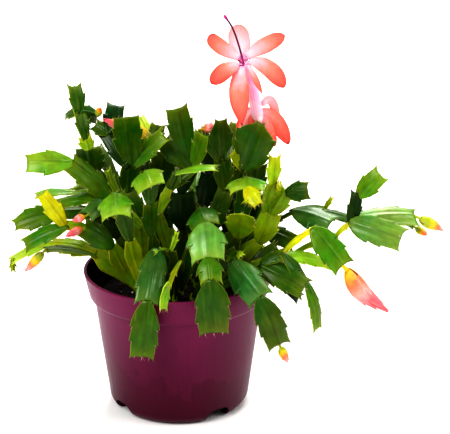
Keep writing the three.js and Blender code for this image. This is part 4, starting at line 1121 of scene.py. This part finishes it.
# Profile corners as (radius out, height, round), each rounded off by a small arc.
def roundedProfile(corners):
    out = [corners[0][:2]]
    for before, (radius, up, size), after in zip(corners, corners[1:], corners[2:]):
        here = np.array((radius, up), float)
        toBefore = np.array(before[:2]) - here
        toAfter = np.array(after[:2]) - here
        cut = min(size, np.linalg.norm(toBefore) * 0.45, np.linalg.norm(toAfter) * 0.45)
        low, high = here + unit(toBefore) * cut, here + unit(toAfter) * cut
        for t in np.linspace(0, 1, pot["arcSteps"]) if cut > 0.05 else [0.5]:
            out.append(tuple((1 - t) ** 2 * low + 2 * t * (1 - t) * here + t * t * high))
    out.append(corners[-1][:2])
    return out


def potCorners():
    p = pot
    collarFoot = p["height"] - p["collarDrop"]
    wall = p["wall"]

    def bend(degrees, radius):  # a point of the rounded foot
        angle = math.radians(degrees)
        out = p["footRadius"] - p["footRound"] + radius * math.sin(angle)
        return (out, p["footRound"] - radius * math.cos(angle), 0)

    return [
        (0, 0, 0), (p["channelInner"] - 1, 0, 0.6), (p["channelInner"], p["channelRise"], 0.6),
        (p["channelOuter"], p["channelRise"], 0.6), (p["channelOuter"] + 1, 0, 0.6),
        *[bend(degrees, p["footRound"]) for degrees in range(0, 90, 8)],
        (p["bodyTopRadius"], collarFoot - 1.2, 1.2),
        (p["collarFootRadius"] - 0.8, collarFoot, 0.3), (p["collarFootRadius"], collarFoot + 1.2, 0.5),
        (p["lipRadius"], p["height"] - 0.6, 0.5), (p["lipRadius"] - 0.4, p["height"], 0.5),
        (p["lipRadius"] - wall - 0.4, p["height"], 0.5),
        (p["collarFootRadius"] - wall, collarFoot + wall + 0.4, 1),
        (p["bodyTopRadius"] - wall, collarFoot + wall - 0.4, 1),
        *[bend(degrees, p["footRound"] - wall) for degrees in range(85, 0, -15)],
        (p["channelOuter"] + 1.4, wall, 0.5),
        (p["channelOuter"] - 0.4, p["channelRise"] + wall, 0.5),
        (p["channelInner"] + 0.4, p["channelRise"] + wall, 0.5), (p["channelInner"] - 1.4, wall, 0.5),
        (0, wall, 0),
    ]


def lathe(profile, sides):  # profile from axis to axis
    angles = np.arange(sides) / sides * 2 * math.pi
    points = [(0, 0, profile[0][1]), (0, 0, profile[-1][1])]
    for radius, up in profile[1:-1]:
        points += [(radius * math.cos(a), radius * math.sin(a), up) for a in angles]
    faces = []
    rings = len(profile) - 2
    for side in range(sides):
        after = (side + 1) % sides
        faces.append([0, 2 + after, 2 + side])
        top = 2 + (rings - 1) * sides
        faces.append([1, top + side, top + after])
        for ring in range(rings - 1):
            low = 2 + ring * sides
            faces.append([low + side, low + after, low + sides + after, low + sides + side])
    return points, faces


# A rod along an axis, whose section reaches wide to the sides and tall up and down. At a squareness of 2
# the section is an ellipse, and above it the shoulders grow squarer.
def rodAlong(centre, axis, halfLength, wide, tall, squareness=2, sides=48):
    points = []
    for end in (-1, 1):
        for side in range(sides):
            angle = 2 * math.pi * side / sides
            onWide, onTall = math.cos(angle), math.sin(angle)
            grow = (abs(onWide) ** squareness + abs(onTall) ** squareness) ** (-1 / squareness)
            points.append(centre + axis * halfLength * end + (wide * onWide + tall * onTall) * grow)
    faces = [[s, (s + 1) % sides, sides + (s + 1) % sides, sides + s] for s in range(sides)]
    faces += [list(reversed(range(sides))), list(range(sides, 2 * sides))]
    return points, faces


potSurface = {
    # The lower tone is darker than the upper: painted shade, darkening the wall towards the foot.
    "upper": "#70204a", "lower": "#4c0026", "cloudMm": 38, "cloud": 0.3,
    "wet": "#43001e", "darkening": 0.36, "stainMm": 15, "stainRagged": 0.9, "darkeningTop": 0.72, "stainFade": 0.07,
    "streakMm": 2.2, "streakStretch": 0.06, "scuff": "#c9a3b4", "scuffs": 0.04, "scuffMm": 9,
    "grainMm": 0.5, "bumpMm": 0.02, "roughness": 0.36, "roughnessSwing": 0.1, "ior": 1.49, "specular": 0.3,
}
# Tones of the inside wall: painted shade, over real peat dust.
innerShadeAndPeatDust = {"tones": ("#0e0806", "#2a1712"), "grainMm": 3, "roughness": 0.9, "specular": 0.1}


# Polypropylene, injection moulded and coloured through: satin, with faint flow streaks along the wall, a
# darker damp foot and fine scuffs, and painted shade that darkens the wall from the lip down to the foot.
def potMaterial():
    look = potSurface
    made, tree, plastic = newMaterial("polypropylene_moulded_burgundy")
    spot = addNode(tree, "ShaderNodeTexCoord")
    split = addNode(tree, "ShaderNodeSeparateXYZ", links={0: spot.outputs["Object"]})
    rise = addNode(tree, "ShaderNodeMapRange", {"From Min": 0.0, "From Max": pot["height"] * mm},
                   {"Value": split.outputs["Z"]})
    cloud = addNode(tree, "ShaderNodeTexNoise", {"Scale": perMetre(look["cloudMm"]), "Detail": 3.0},
                    {"Vector": spot.outputs["Object"]})
    # Painted shade: the wall goes from the upper tone at the lip to the darker lower tone at the foot,
    # clouded a little.
    footShadeLevel = addNode(tree, "ShaderNodeMath", {"operation": "MULTIPLY_ADD", 1: look["cloud"]},
                    {0: cloud.outputs["Fac"], 2: rise.outputs["Result"]})
    ramp = addNode(tree, "ShaderNodeValToRGB", {"stops": [(0.2, look["lower"]), (1.0, look["upper"])]},
                   {"Fac": footShadeLevel.outputs["Value"]})
    # Water has darkened the lower wall, up to a ragged line.
    soaked = addNode(tree, "ShaderNodeTexNoise", {"Scale": perMetre(look["stainMm"]), "Detail": 4.0},
                     {"Vector": spot.outputs["Object"]})
    level = addNode(tree, "ShaderNodeMath", {"operation": "MULTIPLY_ADD", 1: look["stainRagged"]},
                    {0: soaked.outputs["Fac"], 2: rise.outputs["Result"]})
    wet = addNode(tree, "ShaderNodeMapRange", {
        "interpolation_type": "SMOOTHSTEP", "From Min": look["darkeningTop"],
        "From Max": look["darkeningTop"] + look["stainFade"], "To Min": look["darkening"], "To Max": 0.0,
    }, {"Value": level.outputs["Value"]})
    stained = addNode(tree, "ShaderNodeMix", {"data_type": "RGBA", 7: linear(look["wet"])},
                      {0: wet.outputs["Result"], 6: ramp.outputs["Color"]})
    # Streaks are noise squeezed round the wall and drawn long up and down.
    tall = addNode(tree, "ShaderNodeMapping", {"Scale": (1.0, 1.0, look["streakStretch"])},
                   {"Vector": spot.outputs["Object"]})
    streak = addNode(tree, "ShaderNodeTexNoise", {"Scale": perMetre(look["streakMm"]), "Detail": 4.0},
                     {"Vector": tall.outputs["Vector"]})
    shade = addNode(tree, "ShaderNodeMapRange", {
        "From Min": 0.35, "From Max": 0.65, "To Min": 0.96, "To Max": 1.04,
    }, {"Value": streak.outputs["Fac"]})
    streaked = addNode(tree, "ShaderNodeHueSaturation", links={
        "Color": stained.outputs[2], "Value": shade.outputs["Result"],
    })
    # Scuffs are thin lines that show only in places.
    scratch = addNode(tree, "ShaderNodeTexVoronoi", {
        "feature": "DISTANCE_TO_EDGE", "Scale": perMetre(look["scuffMm"]),
    }, {"Vector": tall.outputs["Vector"]})
    thin = addNode(tree, "ShaderNodeMapRange", {
        "From Min": 0.0, "From Max": 0.012, "To Min": 1.0, "To Max": 0.0,
    }, {"Value": scratch.outputs["Distance"]})
    worn = addNode(tree, "ShaderNodeMapRange", {
        "From Min": 0.55, "From Max": 0.75, "To Max": look["scuffs"],
    }, {"Value": cloud.outputs["Fac"]})
    scuffed = addNode(tree, "ShaderNodeMath", {"operation": "MULTIPLY"},
                      {0: thin.outputs["Result"], 1: worn.outputs["Result"]})
    marked = addNode(tree, "ShaderNodeMix", {"data_type": "RGBA", 7: linear(look["scuff"])},
                     {0: scuffed.outputs["Value"], 6: streaked.outputs["Color"]})
    tree.links.new(marked.outputs[2], plastic.inputs["Base Color"])
    rough = addNode(tree, "ShaderNodeMapRange", {
        **mostNoise, "To Min": look["roughness"] - look["roughnessSwing"] / 2,
        "To Max": look["roughness"] + look["roughnessSwing"] / 2,
    }, {"Value": streak.outputs["Fac"]})
    tree.links.new(rough.outputs["Result"], plastic.inputs["Roughness"])
    grain = addNode(tree, "ShaderNodeTexNoise", {"Scale": perMetre(look["grainMm"])},
                    {"Vector": spot.outputs["Object"]})
    height = addNode(tree, "ShaderNodeMath", {"operation": "MULTIPLY_ADD", 1: 0.4},
                     {0: grain.outputs["Fac"], 2: streak.outputs["Fac"]})
    bump = addNode(tree, "ShaderNodeBump", {"Strength": 0.5, "Distance": look["bumpMm"] * mm},
                   {"Height": height.outputs["Value"]})
    tree.links.new(bump.outputs["Normal"], plastic.inputs["Normal"])
    setConstants(plastic, look)
    return made


# The wall inside, dark and dull: painted shade for the inside of the pot, where little light reaches, over
# real peat dust.
def innerShadeMaterial():
    made, tree, darkening = newMaterial("polypropylene_inner_shade_and_peat_dust")
    spot = addNode(tree, "ShaderNodeTexCoord")
    grain = addNode(tree, "ShaderNodeTexNoise", {"Scale": perMetre(innerShadeAndPeatDust["grainMm"]), "Detail": 5.0},
                    {"Vector": spot.outputs["Object"]})
    dark, light = innerShadeAndPeatDust["tones"]
    ramp = addNode(tree, "ShaderNodeValToRGB", {"stops": [(0.35, dark), (0.7, light)]},
                   {"Fac": grain.outputs["Fac"]})
    tree.links.new(ramp.outputs["Color"], darkening.inputs["Base Color"])
    setConstants(darkening, innerShadeAndPeatDust)
    return made


def buildPot():
    points, faces = lathe(roundedProfile(potCorners()), pot["sides"])
    plastic = potMaterial()
    blank = addMesh("pot_blank", points, faces, [(plastic, 0)])
    cutPoints = []
    cutFaces = []
    up = np.array((0, 0, 1.0))
    for hole in range(pot["drainHoles"]):
        outward = outwardAt(2 * math.pi * hole / pot["drainHoles"])
        around = np.cross(up, outward)
        centre = outward * (pot["channelInner"] + pot["channelOuter"]) / 2 + up * pot["channelRise"]
        joinShell(cutPoints, cutFaces, *rodAlong(centre, up, pot["drainCut"], outward * pot["drainRadius"],
                                                 around * pot["drainRadius"]))
    for slot in range(pot["slotCount"]):
        outward = outwardAt(math.radians(pot["slotTurn"] - 90 + 360 * slot / pot["slotCount"]))
        around = np.cross(up, outward)
        joinShell(cutPoints, cutFaces, *rodAlong(outward * pot["footRadius"], outward, pot["slotCut"],
                                                 around * pot["slotWidth"] / 2, up * pot["slotHeight"],
                                                 pot["slotSquareness"]))
    cutter = addMesh("pot_cutter", np.vstack(cutPoints), cutFaces, [(plastic, 0)])
    boolean = blank.modifiers.new("holes", "BOOLEAN")
    boolean.operation = "DIFFERENCE"
    boolean.object = cutter
    boolean.solver = "EXACT"
    bpy.context.view_layer.update()
    whole = bpy.data.meshes.new_from_object(blank.evaluated_get(bpy.context.evaluated_depsgraph_get()))
    whole.materials.clear()
    whole.materials.append(plastic)
    whole.materials.append(innerShadeMaterial())
    # Faces inside the pot, from the round of the foot up to just below the lip, take the dark inside finish:
    # painted shade over peat dust.
    darkeningTop = (pot["height"] - pot["innerShadeDrop"]) * mm
    for polygon in whole.polygons:
        spot, facing = polygon.center, polygon.normal
        isInside = spot.x * facing.x + spot.y * facing.y < 0 or spot.length < pot["channelOuter"] * mm
        polygon.material_index = int(isInside and pot["footRound"] * mm < spot.z < darkeningTop)
    whole.set_sharp_from_angle(angle=math.radians(pot["sharpDeg"]))
    piece = bpy.data.objects.new("pot_wall", whole)
    bpy.context.scene.collection.objects.link(piece)
    bpy.data.objects.remove(blank)
    bpy.data.objects.remove(cutter)
    settle(piece, "pot", "pot")


buildPot()
print("pot")


# Sizes in millimetres, how far the surface rises and falls, and how many chips lie on it.
mix = {
    "crumbMm": 1.3, "crumbRise": 0.9, "lumpMm": 9, "lumpRise": 1.1, "sunk": 0.4, "rings": 60, "sides": 120,
    "bark": 420, "barkMm": (1.2, 4.6), "barkFlat": 0.3,
    "perlite": 14, "perliteMm": (0.8, 2.2), "perliteFlat": 0.75, "rimGap": 2.5,
}
# Each finish as (dark tone, light tone, grain in millimetres, roughness).
mixSurface = {
    # The peat tones are darker than damp peat alone: partly painted shade, for the soil down in the pot.
    "peat": ("#080503", "#20130b", 1.2, 0.93), "bark": ("#24140b", "#5a3721", 2.5, 0.85),
    "perlite": ("#a9a299", "#e9e4da", 0.9, 0.9), "bumpMm": 0.5,
}


# Potting mix: damp peat crumb, with bark flakes and white perlite grains in it. The peat's near-black tone is
# partly painted shade, for the soil down inside the pot.
def mixMaterial(name, dark, light, grainMm, rough):
    made, tree, crumb = newMaterial(name)
    spot = addNode(tree, "ShaderNodeTexCoord")
    grain = addNode(tree, "ShaderNodeTexNoise", {"Scale": perMetre(grainMm), "Detail": 6.0, "Roughness": 0.7},
                    {"Vector": spot.outputs["Object"]})
    ramp = addNode(tree, "ShaderNodeValToRGB", {"stops": [(0.35, dark), (0.72, light)]},
                   {"Fac": grain.outputs["Fac"]})
    bump = addNode(tree, "ShaderNodeBump", {"Strength": 0.9, "Distance": mixSurface["bumpMm"] * mm},
                   {"Height": grain.outputs["Fac"]})
    tree.links.new(ramp.outputs["Color"], crumb.inputs["Base Color"])
    tree.links.new(bump.outputs["Normal"], crumb.inputs["Normal"])
    crumb.inputs["Roughness"].default_value = rough
    return made


def chip(centre, size, flat, seed):  # an angular flake, its ten corners pulled about
    points = []
    turn = draw(seed) * math.pi * 2
    lean = (draw(seed + 0.3) - 0.5) * 0.9
    for up in (-1, 1):
        for corner in range(5):
            angle = turn + corner * 1.2566 + (draw(seed + corner * 0.17 + up) - 0.5) * 0.6
            reach = size * (0.6 + 0.6 * draw(seed + corner * 1.3 + up * 0.4)) * (1 if up < 0 else 0.8)
            x, y = reach * math.cos(angle), reach * math.sin(angle) * 0.7
            points.append(centre + np.array((x, y, up * size * flat + x * lean)))
    faces = [[a, (a + 1) % 5, 5 + (a + 1) % 5, 5 + a] for a in range(5)]
    return points, faces + [list(reversed(range(5))), list(range(5, 10))]


def buildSoil():
    points = []
    for ring in range(1, mix["rings"] + 1):
        radius = soil["wallRadius"] * ring / mix["rings"]
        for side in range(mix["sides"]):
            angle = 2 * math.pi * side / mix["sides"]
            x, y = radius * math.cos(angle), radius * math.sin(angle)
            lump = noise.fractal(Vector((x, y, 3)) / mix["lumpMm"], 0.6, 2.0, 3) * mix["lumpRise"]
            crumb = noise.noise(Vector((x, y, 9)) / mix["crumbMm"]) * mix["crumbRise"]
            points.append((x, y, soilHeight(x, y) + lump + crumb - mix["sunk"]))
    for radius, up in ((soil["footRadius"], pot["footRound"] + 0.3), (soil["footRadius"] - 3, soil["floor"])):
        for side in range(mix["sides"]):
            angle = 2 * math.pi * side / mix["sides"]
            points.append((radius * math.cos(angle), radius * math.sin(angle), up))
    top, bottom = len(points), len(points) + 1
    points += [(0, 0, soilHeight(0, 0)), (0, 0, soil["floor"])]
    faces = []
    sides = mix["sides"]
    rings = mix["rings"] + 2
    for side in range(sides):
        after = (side + 1) % sides
        faces.append([top, side, after])
        faces.append([bottom, (rings - 1) * sides + after, (rings - 1) * sides + side])
        for ring in range(rings - 1):
            low = ring * sides
            faces.append([low + side, low + sides + side, low + sides + after, low + after])
    firstFaces = {}
    for kind, firstSeed in (("bark", 0), ("perlite", 100)):
        firstFaces[kind] = len(faces)
        sizes, flat = mix[kind + "Mm"], mix[kind + "Flat"]
        for number in range(mix[kind]):
            seed = number * 1.37 + firstSeed
            radius = (soil["wallRadius"] - mix["rimGap"]) * math.sqrt(draw(seed + 0.11))
            angle = draw(seed + 0.53) * 2 * math.pi
            x, y = radius * math.cos(angle), radius * math.sin(angle)
            size = sizes[0] + (sizes[1] - sizes[0]) * draw(seed + 0.77) ** 2
            shape, itsFaces = chip(np.array((x, y, soilHeight(x, y) + size * flat)), size / 2, flat, seed)
            start = len(points)
            points += shape
            faces += [[start + at for at in face] for face in itsFaces]
    piece = addMesh("soil_crumb", points, faces, [
        (mixMaterial("peat_mix_damp_with_painted_shade", *mixSurface["peat"]), 0),
        (mixMaterial("bark_flake_composted", *mixSurface["bark"]), firstFaces["bark"]),
        (mixMaterial("perlite_expanded_grain", *mixSurface["perlite"]), firstFaces["perlite"]),
    ])
    settle(piece, "soil", "soil")


buildSoil()
print("soil")


# Lamps are (place in metres, side in metres, watts), and they look at the plant's middle.
studio = {
    "floorMm": 9000, "floorTones": ("#f1f0ee", "#f4f3f1"), "floorGrainMm": 400, "floorRoughness": 0.9,
    "world": "#ffffff", "worldStrength": 0.42, "aim": (0, 0, 0.12),
    "lamps": [((-0.9, -1.3, 1.5), 1.1, 24), ((1.4, -0.5, 1.1), 0.9, 8), ((0.3, 1.2, 1.6), 1.2, 24)],
    "sensorMm": 36, "lensMm": 139.4, "farMetres": 20,
}


# Emulsion paint, rolled and matt: a pale even ground with no shine.
def paleFloor():
    made, tree, paint = newMaterial("studio_floor_matt_paint")
    spot = addNode(tree, "ShaderNodeTexCoord")
    grain = addNode(tree, "ShaderNodeTexNoise", {"Scale": perMetre(studio["floorGrainMm"]), "Detail": 2.0},
                    {"Vector": spot.outputs["Object"]})
    dark, light = studio["floorTones"]
    ramp = addNode(tree, "ShaderNodeValToRGB", {"stops": [(0.3, dark), (0.7, light)]},
                   {"Fac": grain.outputs["Fac"]})
    tree.links.new(ramp.outputs["Color"], paint.inputs["Base Color"])
    paint.inputs["Roughness"].default_value = studio["floorRoughness"]
    half = studio["floorMm"] / 2
    floor = addMesh("floor", [(-half, -half, 0), (half, -half, 0), (half, half, 0), (-half, half, 0)],
                    [[0, 1, 2, 3]], [(made, 0)])


def lights():
    for number, (spot, side, watts) in enumerate(studio["lamps"]):
        data = bpy.data.lights.new(f"softbox_{number}", "AREA")
        data.energy = watts
        data.size = side
        lamp = bpy.data.objects.new(f"softbox_{number}", data)
        lamp.location = spot
        lamp.rotation_euler = (Vector(spot) - Vector(studio["aim"])).to_track_quat("Z", "Y").to_euler()
        bpy.context.scene.collection.objects.link(lamp)
    world = bpy.data.worlds.new("studio")
    world.use_nodes = True
    world.node_tree.nodes["Background"].inputs["Color"].default_value = linear(studio["world"])
    world.node_tree.nodes["Background"].inputs["Strength"].default_value = studio["worldStrength"]
    bpy.context.scene.world = world


def camera():  # straight down the layout sheet's line of sight
    data = bpy.data.cameras.new("camera")
    data.sensor_width = studio["sensorMm"]
    data.lens = studio["lensMm"]
    data.clip_end = studio["farMetres"]
    made = bpy.data.objects.new("camera", data)
    made.location = Vector(eye * mm)
    made.rotation_euler = Vector(toEye).to_track_quat("Z", "Y").to_euler()
    bpy.context.scene.collection.objects.link(made)
    bpy.context.scene.camera = made


paleFloor()
lights()
camera()
bpy.context.scene.view_settings.view_transform = "Standard"
bpy.context.scene.view_settings.look = "Very High Contrast"
print("stage")
